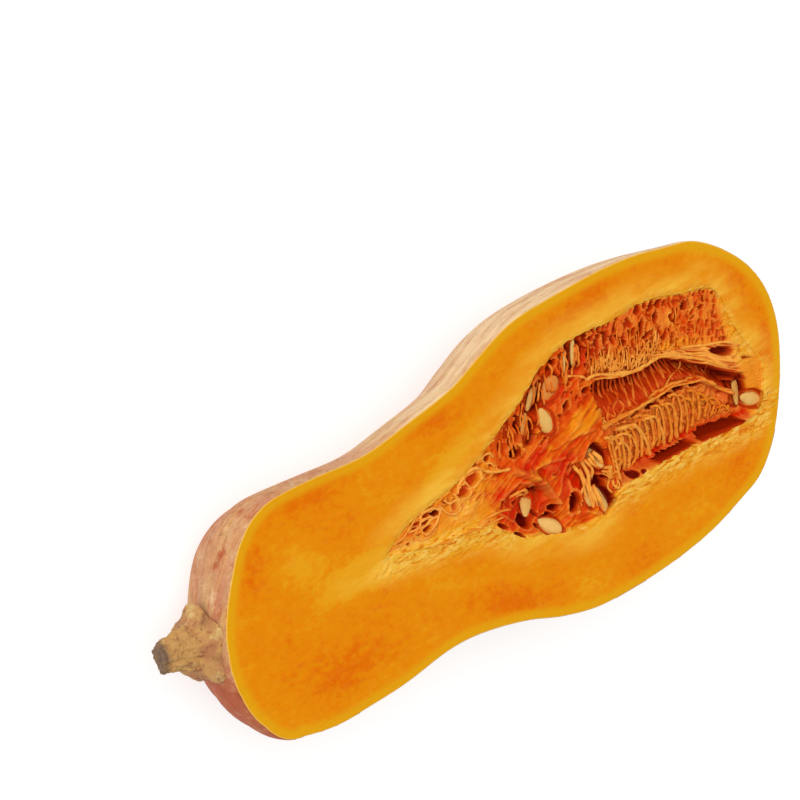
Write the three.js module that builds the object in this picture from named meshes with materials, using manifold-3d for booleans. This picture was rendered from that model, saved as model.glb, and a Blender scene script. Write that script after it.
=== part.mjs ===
// Half of a large butternut squash, cut lengthways just clear of its stem, lying on its rind.
// Millimetres, +Z up. The squash is drawn in its own cut frame, with the blossom end towards +X,
// the cut face in the plane z = 0 and the fruit below it. The group at the end tips that frame to
// the angle at which the half lies, and centres its box on the origin.
import * as THREE from "three";
import { mergeVertices } from "three/addons/utils/BufferGeometryUtils.js";
import Module from "manifold-3d";

const wasm = await Module();
wasm.setup();

// ---------- driving dimensions ----------
const stemEndX = -177; // the two ends of the fruit along its own axis
const blossomEndX = 174;
const stemCapLength = 52; // how far the rounding of each end reaches
const blossomCapLength = 44;
const restAngle = THREE.MathUtils.degToRad(4.1); // the stem end lies lower than the wide end
const restFlat = 0.9; // depth of the two worn flats that the half lies on
const gap = 0.3; // clearance between neighbouring pieces
const lobes = 10; // shallow ribs round the rind

// Radius of the fruit before its ends are rounded, from the shoulder over the neck to the bulb.
const girth = curveThrough([
  [-177, 57.6], [-125, 57.9], [-100, 57], [-70, 54.6], [-45, 57], [-20, 62.3], [0, 70.2],
  [20, 76.4], [40, 78.2], [75, 77.8], [100, 75.2], [120, 70.5], [140, 65], [160, 57], [174, 50],
]);
// Sideways and downward place of the fruit's axis, which bends a little.
const axisY = curveThrough([
  [-177, -14], [-167, -13], [-160, -10.3], [-149, -4.3], [-130, -1.6], [-85, -2.7], [-50, -0.8],
  [-5, -3.1], [30, -2.4], [80, -1.9], [110, -1.2], [140, 0.6], [155, 3.6], [174, 11.5],
]);
const axisZ = curveThrough([
  [-177, -14.5], [-162, -11.5], [-145, -7.5], [-120, -3.5], [-80, -2.5], [-30, -2.5], [0, -3.5],
  [50, -5], [85, -1], [110, 4], [140, 5], [174, 3],
]);
const ribHeight = curveThrough([
  [-177, 3.4], [-150, 2.6], [-120, 1.5], [-60, 1], [40, 1], [120, 1.2], [174, 2],
]);
// The rind below the axis is fuller under the shoulder and flatter under the bulb.
const belly = curveThrough([[-177, 1.14], [-140, 1.08], [-90, 1], [60, 0.94], [174, 0.94]]);

// Edges of the seed cavity on the cut face, and the depth of its floor.
const cavityStart = -82;
const cavityEnd = 158;
const farEdge = curveThrough([
  [-82, 2.4], [-66, 10.5], [-48, 14], [-30, 17.5], [-15, 23], [0, 30], [15, 37], [30, 46],
  [46, 50.5], [60, 51.5], [75, 49.5], [93, 50.4], [108, 48], [123, 43.5], [137, 40], [144, 33],
  [147, 16], [153, 1], [158, -11],
]);
const nearEdge = curveThrough([
  [-82, 1.8], [-63, -3], [-48, -6.5], [-28, -10], [-15, -20], [-6, -27], [7, -32], [18, -36],
  [32, -39], [43, -37.5], [52, -33], [64, -30.5], [98, -31], [112, -32.5], [130, -35],
  [144, -35], [152, -28], [158, -12],
]);
const cavityDepth = curveThrough([
  [-82, 2], [-50, 7], [-15, 15], [20, 27], [60, 32], [110, 30], [140, 22], [158, 8],
]);

// ---------- curves ----------
// A smooth curve y(x) through a few points, straight past its ends.
function curveThrough(points) {
  const slope = points.map((point, i) => {
    const before = points[Math.max(i - 1, 0)];
    const after = points[Math.min(i + 1, points.length - 1)];
    return (after[1] - before[1]) / (after[0] - before[0]);
  });
  return (x) => {
    let i = 0;
    while (i < points.length - 2 && x > points[i + 1][0]) i++;
    const [x0, y0] = points[i];
    const [x1, y1] = points[i + 1];
    const run = x1 - x0;
    const t = THREE.MathUtils.clamp((x - x0) / run, 0, 1);
    const t2 = t * t;
    const t3 = t2 * t;
    return (
      (2 * t3 - 3 * t2 + 1) * y0 +
      (t3 - 2 * t2 + t) * run * slope[i] +
      (3 * t2 - 2 * t3) * y1 +
      (t3 - t2) * run * slope[i + 1]
    );
  };
}

const mix = THREE.MathUtils.lerp;
const step = THREE.MathUtils.smoothstep;

// How much of a bump of the given half width is left at this distance from its middle.
function bump(distance, halfWidth) {
  return 1 - step(Math.abs(distance), 0, halfWidth);
}

// ---------- solids ----------
function solidFrom(geometry) {
  const bare = geometry.index ? geometry.toNonIndexed() : geometry.clone();
  bare.deleteAttribute("normal");
  bare.deleteAttribute("uv");
  const merged = mergeVertices(bare, 1e-4);
  return new wasm.Manifold(
    new wasm.Mesh({
      numProp: 3,
      vertProperties: merged.attributes.position.array,
      triVerts: new Uint32Array(merged.index.array),
    }),
  );
}

function geometryFrom(solid) {
  const mesh = solid.getMesh();
  const geometry = new THREE.BufferGeometry();
  geometry.setAttribute("position", new THREE.BufferAttribute(mesh.vertProperties, 3));
  geometry.setIndex(new THREE.BufferAttribute(mesh.triVerts, 1));
  geometry.computeVertexNormals();
  return geometry;
}

function largestBody(solid) {
  const bodies = solid.decompose();
  return bodies.sort((a, b) => b.volume() - a.volume())[0];
}

// A closed skin over rings of points, each ring closed on itself, with a point at either end.
function skinOver(rings, startPoint, endPoint) {
  const around = rings[0].length;
  const points = [...rings.flat(), startPoint, endPoint];
  const start = points.length - 2;
  const end = points.length - 1;
  const faces = [];
  for (let j = 0; j < around; j++) {
    const next = (j + 1) % around;
    faces.push(start, j, next);
    for (let i = 0; i < rings.length - 1; i++) {
      const a = i * around;
      const b = a + around;
      faces.push(a + j, b + next, a + next, a + j, b + j, b + next);
    }
    const last = (rings.length - 1) * around;
    faces.push(end, last + next, last + j);
  }
  const geometry = new THREE.BufferGeometry().setFromPoints(points);
  geometry.setIndex(faces);
  return geometry;
}

// A closed block over a grid of columns of points: its top follows the grid, its base is flat.
function blockUnder(columns, baseZ) {
  const rows = columns[0].length;
  const count = columns.length * rows;
  const tops = columns.flat();
  const bases = tops.map((point) => new THREE.Vector3(point.x, point.y, baseZ));
  const faces = [];
  for (let i = 0; i < columns.length - 1; i++)
    for (let j = 0; j < rows - 1; j++) {
      const a = i * rows + j;
      const b = a + rows;
      faces.push(a, b, b + 1, a, b + 1, a + 1);
      faces.push(count + a, count + b + 1, count + b, count + a, count + a + 1, count + b + 1);
    }
  const wall = (a, b) => faces.push(a, a + count, b + count, a, b + count, b);
  for (let i = 0; i < columns.length - 1; i++) {
    wall(i * rows, (i + 1) * rows);
    wall((i + 1) * rows + rows - 1, i * rows + rows - 1);
  }
  for (let j = 0; j < rows - 1; j++) {
    wall(j + 1, j);
    wall((columns.length - 1) * rows + j, (columns.length - 1) * rows + j + 1);
  }
  const geometry = new THREE.BufferGeometry().setFromPoints([...tops, ...bases]);
  geometry.setIndex(faces);
  return geometry;
}

function boxBetween(low, high) {
  const size = new THREE.Vector3().subVectors(high, low);
  const middle = new THREE.Vector3().addVectors(low, high).multiplyScalar(0.5);
  return new THREE.BoxGeometry(size.x, size.y, size.z).translate(middle.x, middle.y, middle.z);
}

// ---------- rind and flesh ----------
const ringsAlong = 50;
const pointsAround = 60;

function endRounding(x) {
  const toStem = THREE.MathUtils.clamp((stemEndX + stemCapLength - x) / stemCapLength, 0, 1);
  const toBlossom = THREE.MathUtils.clamp((x - blossomEndX + blossomCapLength) / blossomCapLength, 0, 1);
  return Math.sqrt(1 - toStem * toStem) * Math.sqrt(1 - toBlossom * toBlossom);
}

const firstGroove = -0.17; // where round the rind the first groove runs, in radians

function rindPoint(x, angle) {
  const groove = Math.abs(Math.sin((lobes / 2) * (angle - firstGroove)));
  const rib = ribHeight(x) * (Math.pow(groove, 0.6) - 0.8);
  const radius = (girth(x) + rib) * endRounding(x);
  const down = angle < Math.PI ? belly(x) : 1;
  return new THREE.Vector3(
    x,
    axisY(x) + radius * Math.cos(angle),
    axisZ(x) - down * radius * Math.sin(angle),
  );
}

function wholeFruit() {
  const rings = [];
  for (let i = 1; i < ringsAlong; i++) {
    const turn = (Math.PI * i) / ringsAlong; // closer rings towards both ends
    const x = mix(stemEndX, blossomEndX, (1 - Math.cos(turn)) / 2);
    rings.push(
      Array.from({ length: pointsAround }, (_, j) => rindPoint(x, (2 * Math.PI * j) / pointsAround)),
    );
  }
  return solidFrom(skinOver(rings, rindPoint(stemEndX, 0), rindPoint(blossomEndX, 0)));
}

// ---------- seed cavity ----------
// Depth below the cut face of the cavity's wall, a bowl that is steep at its edges.
function bowlDepth(x, across) {
  const side = 2 * across - 1;
  return cavityDepth(x) * Math.sqrt(Math.max(0, 1 - Math.pow(Math.abs(side), 2.6)));
}

function cavityGrid(stations, rows, heightAt) {
  return stations.map((x) =>
    Array.from({ length: rows + 1 }, (_, j) => {
      const across = j / rows;
      const y = mix(nearEdge(x), farEdge(x), across);
      return new THREE.Vector3(x, y, heightAt(x, y, across));
    }),
  );
}

// Places from one x to another, closer together towards the second by the given crowding.
function stationsFrom(from, to, count, crowding = 0) {
  return Array.from({ length: count }, (_, i) => {
    const share = i / count;
    return mix(from, to, share * (1 + crowding - crowding * share));
  });
}

// The empty bowl as a solid that stands up through the cut face, shrunk by the clearance for the pulp.
function bowl(clearance) {
  const aboveCut = 20;
  const stations = [...stationsFrom(cavityStart, cavityEnd, 32, 0.4), cavityEnd];
  const columns = cavityGrid(stations, 10, (x, y, across) => clearance - 0.4 - bowlDepth(x, across));
  const inset = columns.map((column, i) =>
    column.map((point) => {
      const middleY = (nearEdge(point.x) + farEdge(point.x)) / 2;
      const halfWidth = (farEdge(point.x) - nearEdge(point.x)) / 2;
      const keep = Math.max(0.2, 1 - clearance / Math.max(halfWidth, 1e-3));
      const along = i === 0 ? clearance : i === columns.length - 1 ? -clearance : 0;
      return new THREE.Vector3(point.x + along, mix(middleY, point.y, keep), -point.z);
    }),
  );
  const upsideDown = blockUnder(inset, -aboveCut);
  upsideDown.scale(1, 1, -1);
  upsideDown.index.array.reverse();
  return solidFrom(upsideDown);
}

// ---------- pulp ----------
const pulpLevel = -2.4; // general height of the pulp, just below the cut
const stringPitch = 4.2; // spacing of the combed strings down the near bank
const combStart = 52;
const combEnd = combStart + 22 * stringPitch;
const septum = curveThrough([
  [45, 27], [57, 26], [69, 23.6], [80, 21.6], [92, 20.6], [102, 19], [112, 14.2], [121, 9], [133, 3.2],
  [143, -1], [157, -8],
]);
const bankCrest = curveThrough([
  [30, 3], [52, 2.7], [60, 0.9], [80, 0.9], [102, 1.3], [112, -0.6], [122, -4.2], [128, -9], [140, -18],
]);

// Rounded hollows and mounds of the pulp: middle, half length and half width, turn in degrees, height.
const forms = [
  { at: [-42, 6], half: [42, 12], turn: 5, height: -3 }, // bed of the net towards the neck
  { at: [39, 9], half: [22, 12], turn: 8, height: 3 }, // fold of membrane
  { at: [36, -13], half: [15, 12], turn: -12, height: -7 }, // red valley
  { at: [4, -14], half: [18, 13], turn: 10, height: -10 }, // pockets of the loose seeds
  { at: [12, -29], half: [14, 7], turn: -8, height: -7 },
  { at: [29, 37], half: [36, 9], turn: 38, height: -6 }, // row of seeds along the far edge
  { at: [3, 23], half: [15, 8], turn: 34, height: -6 },
  { at: [45, -25], half: [13, 10], turn: 20, height: -7 }, // pit round the string bundle
  { at: [-27, 3], half: [22, 8], turn: 12, height: 3.4 }, // pale lens of flesh
  { at: [9, -1.5], half: [20, 6], turn: -28, height: 5 }, // arch over the seed pocket
  { at: [136.7, 5], half: [12, 4.5], turn: -26, height: -7 }, // slit in the septum
  { at: [141, -19], half: [12, 10], turn: 60, height: -1.5 },
];

function formHeight(x, y) {
  return forms.reduce((sum, form) => {
    const turn = THREE.MathUtils.degToRad(form.turn);
    const dx = x - form.at[0];
    const dy = y - form.at[1];
    const u = (dx * Math.cos(turn) + dy * Math.sin(turn)) / form.half[0];
    const v = (dy * Math.cos(turn) - dx * Math.sin(turn)) / form.half[1];
    return sum + form.height * bump(Math.hypot(u, v), 1);
  }, 0);
}

const chamberDepth = 16.5;
const gapDepth = 11; // of the dark gap along the near flesh
const bankStep = 3; // the near bank starts this far below the crest
const bankFall = 6; // and falls this much towards the gap
const bankWidth = 26;
const combRelief = 0.9;
const poreDepth = 2.6; // of the far bank's pores
const pulpRoots = -60; // the bed of pulp reaches down past the bowl it is trimmed to

// The open chamber between the septum and the crest of the near bank, the combed near bank, which
// falls to the gap along the flesh, and the porous far bank.
function bankHeight(x, y) {
  const present = step(x, 44, 58) * (1 - step(x, 138, 148));
  const middle = (septum(x) + bankCrest(x)) / 2;
  const halfWidth = Math.max(4, (septum(x) - bankCrest(x)) / 2 - 1.5);
  const chamber = -chamberDepth * (1 - step(Math.abs(y - middle), halfWidth * 0.5, halfWidth));
  const edgeGap = -gapDepth * bump(y - nearEdge(x) - 3, 6.5) * step(x, 60, 72);
  let bank = 0;
  if (y < bankCrest(x) + 1) {
    const fall = THREE.MathUtils.clamp((bankCrest(x) - y) / bankWidth, 0, 1);
    const comb = Math.cos((2 * Math.PI * (x - combStart)) / stringPitch);
    bank = -bankStep - bankFall * fall + combRelief * comb;
  } else if (y > septum(x) + 1.5) {
    bank = -poreDepth * Math.pow(Math.sin(x * 0.75 + y * 0.2) * Math.sin(y * 0.62 - x * 0.1), 2);
  }
  return present * (chamber + bank + edgeGap);
}

function pulpTop(x, y) {
  return pulpLevel + formHeight(x, y) + bankHeight(x, y);
}

const fibreSunk = 2.2; // depth of a fibre's roots under the pulp's top
const fibreEnds = -0.6; // its edge dips under the top at both ends
const bridgeDepth = 0.4; // of a bridging fibre, as a share of its thickness

// A fibre between two points of the pulp, three-sided with its edge up and sunk well in. It follows the
// pulp's top, or spans a hollow as a bridge, and bows sideways.
function fibre({ from, to, thick = 1, height = 1.1, bow = 0, bridge = false }) {
  const start = new THREE.Vector2(...from);
  const end = new THREE.Vector2(...to);
  const run = end.clone().sub(start);
  const steps = THREE.MathUtils.clamp(Math.round(run.length() / 6), 2, 6);
  const side = new THREE.Vector2(-run.y, run.x).normalize();
  const rings = [];
  for (let i = 0; i <= steps; i++) {
    const t = i / steps;
    const spot = start.clone().addScaledVector(run, t).addScaledVector(side, bow * Math.sin(Math.PI * t));
    const ends = mix(pulpTop(...from), pulpTop(...to), t);
    const level = bridge ? ends : pulpTop(spot.x, spot.y);
    const atEnd = i === 0 || i === steps;
    const crest = atEnd ? fibreEnds : height;
    const depth = bridge && !atEnd ? bridgeDepth * thick : fibreSunk;
    rings.push([
      new THREE.Vector3(spot.x - side.x * thick, spot.y - side.y * thick, level - depth),
      new THREE.Vector3(spot.x, spot.y, level + crest),
      new THREE.Vector3(spot.x + side.x * thick, spot.y + side.y * thick, level - depth),
    ]);
  }
  const centre = (ring) => ring[0].clone().add(ring[1]).add(ring[2]).divideScalar(3);
  return solidFrom(skinOver(rings, centre(rings[0]), centre(rings[steps])));
}

// A small seeded generator, so that every build grows the same fibres.
function seededRandom(state) {
  return () => {
    state = (state * 1664525 + 1013904223) >>> 0;
    return state / 4294967296;
  };
}

function fibres() {
  const random = seededRandom(7);
  const between = (low, high) => mix(low, high, random());
  const lines = [];
  // strings down the chamber's far wall
  for (let x = 62; x < 128; x += 11) {
    const middle = (septum(x) + bankCrest(x)) / 2;
    lines.push({ from: [x, septum(x) - 1], to: [x + between(-4, 1), middle], bow: between(-1, 1) });
  }
  // meshes of the far bank
  for (let x = 44; x < 134; x += 11) {
    lines.push({
      from: [x, farEdge(x) - 3],
      to: [x + between(1, 7), septum(x + 4) + between(1, 4)],
      bow: between(-2.5, 2.5),
    });
  }
  // long cords on the septum
  for (const [from, to] of [[50, 84], [81, 113], [110, 142]])
    lines.push({ from: [from, septum(from)], to: [to, septum(to)], thick: 1.6, height: 1.5 });
  // crossed strings of the net towards the neck
  for (let x = -66; x < -8; x += 11) {
    const near = mix(nearEdge(x + 8), farEdge(x + 8), 0.4);
    lines.push({ from: [x, farEdge(x) - 2], to: [x + 11, near], bow: 1.5, bridge: true });
    lines.push({ from: [x + 9, farEdge(x + 9) - 2], to: [x - 1, near - 1], bow: -1.5, bridge: true });
  }
  // strings through the far seed row and across the pockets
  for (const [from, to, bow] of [
    [[-8, 22], [10, 6], 2], [[2, 29], [12, 9], -2], [[18, 38], [30, 15], -2], [[36, 47], [48, 25], 2],
    [[-14, -10], [4, -3], 2], [[18, -6], [28, -29], -2], [[26, -2], [40, -20], 2], [[46, 15], [56, 2], 2],
    [[-10, -17], [12, -24], -2], [[50, -6], [56, -29], -1],
  ])
    lines.push({ from, to, bow, thick: 1.2, bridge: true });
  return lines.map(fibre);
}

// ---------- seeds ----------
const seedLength = 13.6;
const seedWidth = 8.2;
const seedThickness = 2.7;

// Middle, heading of the pointed end, roll about the length (0 lies flat, 90 on edge) and pitch, in degrees.
const seedPlaces = [
  { at: [52.7, 43.5, -3.2], heading: 71, roll: 41, pitch: -1 },
  { at: [46.6, 42.0, -4.8], heading: 243, roll: -71, pitch: 17 },
  { at: [34.0, 33.1, -3.8], heading: 224, roll: 16, pitch: -7 },
  { at: [25.4, 20.4, -2.8], heading: 95, roll: -6, pitch: 1 },
  { at: [23.7, 32.9, -5.6], heading: 222, roll: -32, pitch: 4 },
  { at: [14.2, 22.3, -4.6], heading: 65, roll: 38, pitch: 5 },
  { at: [4.3, -14.9, -9.0], heading: 230, roll: -3, pitch: 21 },
  { at: [10.8, -29.6, -5.2], heading: 130, roll: -1, pitch: -21 },
  { at: [37.2, -25.3, -5.2], heading: 80, roll: 27, pitch: -10 },
  { at: [44.6, -33.0, -6.6], heading: 87, roll: 29, pitch: -20 },
  { at: [47.5, -11.3, -5.8], heading: 286, roll: -29, pitch: 28 },
  { at: [139.6, -19.6, -5.2], heading: 250, roll: -33, pitch: 10 },
  { at: [146.6, -26.6, -4.4], heading: 148, roll: -8, pitch: 4 },
];

// A flat ovate seed, its pointed end towards +X, grown outward all over by the given amount.
function seedGeometry(grow) {
  const sides = 10;
  const stations = 5;
  const rings = [];
  for (let i = 1; i <= stations; i++) {
    const turn = (Math.PI * i) / (stations + 1);
    const x = -Math.cos(turn) * (seedLength / 2 + grow);
    const taper = 1 - 0.3 * step(x, -seedLength / 4, seedLength / 2);
    const round = Math.pow(Math.sin(turn), 0.85) * taper;
    const halfWidth = (seedWidth / 2) * round + grow;
    const halfThickness = (seedThickness / 2) * Math.sqrt(round) + grow;
    rings.push(
      Array.from({ length: sides }, (_, k) => {
        const a = (-2 * Math.PI * k) / sides;
        return new THREE.Vector3(x, halfWidth * Math.cos(a), halfThickness * Math.sin(a));
      }),
    );
  }
  const tip = seedLength / 2 + grow;
  return skinOver(rings, new THREE.Vector3(-tip, 0, 0), new THREE.Vector3(tip, 0, 0));
}

function placeSeed(object, place) {
  const { degToRad } = THREE.MathUtils;
  object.position.set(...place.at);
  object.rotation.set(degToRad(place.roll), -degToRad(place.pitch), degToRad(place.heading), "ZYX");
  object.updateMatrix();
  return object;
}

function seedSocket(place) {
  const holder = placeSeed(new THREE.Object3D(), place);
  return solidFrom(seedGeometry(gap).applyMatrix4(holder.matrix));
}

// ---------- stem ----------
const stemAxis = new THREE.CatmullRomCurve3([
  new THREE.Vector3(-168, 1, -21),
  new THREE.Vector3(-177.5, 3, -20),
  new THREE.Vector3(-188, 6.5, -17.5),
  new THREE.Vector3(-199, 9.5, -15),
]);
const stemRadius = curveThrough([
  [0, 9], [0.12, 15], [0.22, 18.2], [0.32, 17.6], [0.48, 12], [0.66, 9.2], [0.86, 8.1], [1, 7],
]);

// The woody stem: a five-lobed flare that grips the rind, drawn in to a blunt, slanting cut.
function stemGeometry(grow) {
  const stations = 12;
  const sides = 25;
  const rings = [];
  for (let i = 0; i <= stations; i++) {
    const t = i / stations;
    const centre = stemAxis.getPoint(t);
    const along = stemAxis.getTangent(t);
    const across = new THREE.Vector3(along.y, -along.x, 0).normalize();
    const up = new THREE.Vector3().crossVectors(across, along);
    const lobed = mix(0.15, 0.06, step(t, 0.3, 0.8));
    const slant = 2.4 * step(t, 0.8, 1);
    rings.push(
      Array.from({ length: sides }, (_, k) => {
        const a = (2 * Math.PI * k) / sides;
        const radius = stemRadius(t) * (1 + lobed * Math.cos(5 * a + 0.6)) + grow;
        return centre
          .clone()
          .addScaledVector(across, radius * Math.cos(a))
          .addScaledVector(up, radius * Math.sin(a))
          .addScaledVector(along, slant * Math.sin(a) + (i === stations ? grow : 0));
      }),
    );
  }
  const inner = stemAxis.getPoint(0);
  const outer = stemAxis.getPoint(1).addScaledVector(stemAxis.getTangent(1), 0.6 + grow);
  return skinOver(rings, inner, outer);
}

// ---------- build ----------
const restPose = new THREE.Matrix4().makeRotationY(-restAngle);
const cutAway = solidFrom(
  boxBetween(new THREE.Vector3(-300, -200, 0), new THREE.Vector3(300, 200, 200)),
);
const stem = solidFrom(stemGeometry(0));
const fruit = wholeFruit().subtract(cutAway).subtract(solidFrom(stemGeometry(gap)));

// The lowest point of the half as it lies gives the height of the cut face over the surface.
const resting = new THREE.Box3().setFromBufferAttribute(
  geometryFrom(fruit).applyMatrix4(restPose).getAttribute("position"),
);
restPose.setPosition(0, 0, -resting.min.z - restFlat);
const ground = boxBetween(new THREE.Vector3(-300, -200, -100), new THREE.Vector3(300, 200, 0));
const worn = solidFrom(ground.applyMatrix4(restPose.clone().invert()));
const sockets = wasm.Manifold.union(seedPlaces.map(seedSocket));
const flesh = fruit.subtract(worn).subtract(bowl(0)).subtract(sockets);
const pulpStations = [
  ...stationsFrom(cavityStart, combStart, 28),
  ...stationsFrom(combStart, combEnd, 44), // two to each string, its edge and the groove beside it
  ...stationsFrom(combEnd, cavityEnd, 7),
  cavityEnd,
];
const pulpRows = 17;
const pulpBed = solidFrom(blockUnder(cavityGrid(pulpStations, pulpRows, pulpTop), pulpRoots));
const pulpMass = pulpBed.add(wasm.Manifold.union(fibres())).intersect(bowl(gap));
const pulp = largestBody(pulpMass.subtract(sockets));

const half = new THREE.Group();

function addPiece(name, geometry, material) {
  const mesh = new THREE.Mesh(geometry, material);
  mesh.name = name;
  half.add(mesh);
  return mesh;
}

const fleshColour = new THREE.MeshStandardMaterial({ color: 0xe8961c, roughness: 0.5, metalness: 0 });
const pulpColour = new THREE.MeshStandardMaterial({ color: 0xdc5f16, roughness: 0.4, metalness: 0 });
const seedColour = new THREE.MeshStandardMaterial({ color: 0xe6cf9c, roughness: 0.35, metalness: 0 });
const stemColour = new THREE.MeshStandardMaterial({ color: 0xc39a66, roughness: 0.85, metalness: 0 });

addPiece("squash_half", geometryFrom(flesh), fleshColour);
addPiece("pulp", geometryFrom(pulp), pulpColour);
addPiece("stem", geometryFrom(stem), stemColour);
seedPlaces.forEach((place, i) => {
  const number = String(i + 1).padStart(2, "0");
  placeSeed(addPiece("seed_" + number, seedGeometry(0), seedColour), place);
});

half.applyMatrix4(restPose);
const middle = new THREE.Box3().setFromObject(half, true).getCenter(new THREE.Vector3());
half.position.x -= middle.x;
half.position.y -= middle.y;

export default half;
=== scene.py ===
import math
import random
from functools import lru_cache

import bmesh
import bpy
from mathutils import Matrix, Vector, kdtree, noise


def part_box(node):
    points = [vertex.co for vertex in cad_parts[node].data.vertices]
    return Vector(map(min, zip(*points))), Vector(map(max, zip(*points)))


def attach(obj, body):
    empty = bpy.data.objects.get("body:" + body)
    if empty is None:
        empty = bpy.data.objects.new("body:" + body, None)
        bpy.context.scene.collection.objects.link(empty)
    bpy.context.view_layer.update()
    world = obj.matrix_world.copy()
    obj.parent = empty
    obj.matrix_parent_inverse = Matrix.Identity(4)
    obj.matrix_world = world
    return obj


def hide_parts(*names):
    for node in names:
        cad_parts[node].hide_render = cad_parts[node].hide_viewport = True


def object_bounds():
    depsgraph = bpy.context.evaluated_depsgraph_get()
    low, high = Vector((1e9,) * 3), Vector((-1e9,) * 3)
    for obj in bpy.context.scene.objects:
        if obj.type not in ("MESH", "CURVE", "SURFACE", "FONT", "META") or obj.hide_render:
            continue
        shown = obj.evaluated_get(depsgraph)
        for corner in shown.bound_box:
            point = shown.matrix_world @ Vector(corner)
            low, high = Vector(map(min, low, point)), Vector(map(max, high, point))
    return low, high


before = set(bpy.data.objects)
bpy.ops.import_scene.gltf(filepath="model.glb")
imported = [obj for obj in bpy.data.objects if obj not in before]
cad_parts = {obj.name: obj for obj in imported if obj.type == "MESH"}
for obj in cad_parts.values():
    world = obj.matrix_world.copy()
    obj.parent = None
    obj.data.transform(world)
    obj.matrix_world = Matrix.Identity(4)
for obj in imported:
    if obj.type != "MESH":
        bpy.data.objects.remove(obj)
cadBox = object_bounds()

# Half a butternut squash on its rind. Shapes are drawn in millimetres in the squash's own cut frame:
# x runs from stem to blossom end, the cut face is z = 0 and the fruit hangs below it.
# restPose then lays the half down and turns it into metres.
metres = 0.001
squash = {
    "stemEndX": -177,
    "blossomEndX": 174,
    "stemCap": 52,  # how far each end's rounding reaches
    "blossomCap": 44,
    "tiltDegrees": 4.1,  # the stem end lies lower
    "wornFlat": 0.9,  # depth of the spots it rests on
    "lobes": 10,
    "lobeTurn": 0.17,  # radians, how far the grooves are turned from the cut face
    "dents": 0.5,  # depth of the soft dents in the rind
    "endGap": 0.2,  # how far it stays inside its box at the blossom end and at its far side
    "sideGap": 0.1,
}


def mix(a, b, t):
    return a + (b - a) * t


def clamp(value, low=0.0, high=1.0):
    return max(low, min(high, value))


def step(value, low, high):
    t = clamp((value - low) / (high - low))
    return t * t * (3 - 2 * t)


def bump(distance, halfWidth):
    return 1 - step(abs(distance), 0, halfWidth)


def wave(x, y, z=0.0):
    return noise.noise(Vector((x, y, z)))


# a smooth curve y(x) through a few points, straight past its ends
def curveThrough(points):
    last = len(points) - 1
    slopes = []
    for i in range(last + 1):
        before, after = points[max(i - 1, 0)], points[min(i + 1, last)]
        slopes.append((after[1] - before[1]) / (after[0] - before[0]))

    @lru_cache(maxsize=None)
    def at(x):
        i = 0
        while i < last - 1 and x > points[i + 1][0]:
            i += 1
        (x0, y0), (x1, y1) = points[i], points[i + 1]
        run = x1 - x0
        t = clamp((x - x0) / run)
        t2, t3 = t * t, t * t * t
        return (
            (2 * t3 - 3 * t2 + 1) * y0
            + (t3 - 2 * t2 + t) * run * slopes[i]
            + (3 * t2 - 2 * t3) * y1
            + (t3 - t2) * run * slopes[i + 1]
        )

    return at


girth = curveThrough([
    (-177, 57.6), (-125, 57.9), (-100, 57), (-70, 54.6), (-45, 57), (-20, 62.3), (0, 70.2), (20, 76.4),
    (40, 78.2), (75, 77.8), (100, 75.2), (120, 70.5), (140, 65), (160, 57), (174, 50),
])
axisY = curveThrough([
    (-177, -14), (-167, -13), (-160, -10.3), (-149, -4.3), (-130, -1.6), (-85, -2.7), (-50, -0.8), (-5, -3.1),
    (30, -2.4), (80, -1.9), (110, -1.2), (140, 0.6), (155, 3.6), (174, 11.5),
])
axisZ = curveThrough([
    (-177, -14.5), (-162, -11.5), (-145, -7.5), (-120, -3.5), (-80, -2.5), (-30, -2.5), (0, -3.5), (50, -5),
    (85, -1), (110, 4), (140, 5), (174, 3),
])
ribHeight = curveThrough([
    (-177, 3.4), (-150, 2.6), (-120, 1.5), (-60, 1), (40, 1), (120, 1.2), (174, 2),
])
belly = curveThrough([(-177, 1.14), (-140, 1.08), (-90, 1), (60, 0.94), (174, 0.94)])
farEdge = curveThrough([
    (-82, 2.4), (-66, 10.5), (-48, 14), (-30, 17.5), (-15, 23), (0, 30), (15, 37), (30, 46), (46, 50.5),
    (60, 51.5), (75, 49.5), (93, 50.4), (108, 48), (123, 43.5), (137, 40), (144, 33), (147, 16), (153, 1),
    (158, -11),
])
nearEdge = curveThrough([
    (-82, 1.8), (-63, -3), (-48, -6.5), (-28, -10), (-15, -20), (-6, -27), (7, -32), (18, -36), (32, -39),
    (43, -37.5), (52, -33), (64, -30.5), (98, -31), (112, -32.5), (130, -35), (144, -35), (152, -28),
    (158, -12),
])
cavityDepth = curveThrough([
    (-82, 2), (-50, 7), (-15, 15), (20, 27), (60, 32), (110, 30), (140, 22), (158, 8),
])
bandTop = curveThrough([
    (60, 30), (74, 32), (80.4, 29.5), (88.1, 25.8), (94.7, 22.7), (101.8, 21.2), (111.7, 18.4), (121.4, 15.1),
    (128.3, 12.5), (136.9, 9.7), (142.3, 7.2), (146.3, 2.7), (149.3, -1.9), (155.4, -5.1),
])
septumEdge = curveThrough([
    (45, 27), (57, 25.5), (64, 24.8), (70, 21.7), (75, 19.7), (80.4, 19.4), (86, 17.7), (91.4, 18.2),
    (96.4, 19), (102, 17.4), (107, 14.4), (112.4, 11.8), (115.5, 8.5), (122, 4.5), (126, 2.4), (131, -2.1),
    (137, -6.7), (144.5, -10.7), (157, -14),
])
bankCrest = curveThrough([
    (30, 2), (57.5, 1.5), (70.2, 0.9), (79.9, 1.8), (90.3, 1.3), (101.8, 2.1), (107.8, 1.6), (111.1, 0.2),
    (120.3, -2.9), (125, -7.1), (129.9, -13.3), (138, -20),
])
cavityStart, cavityEnd = -82, 158


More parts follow.
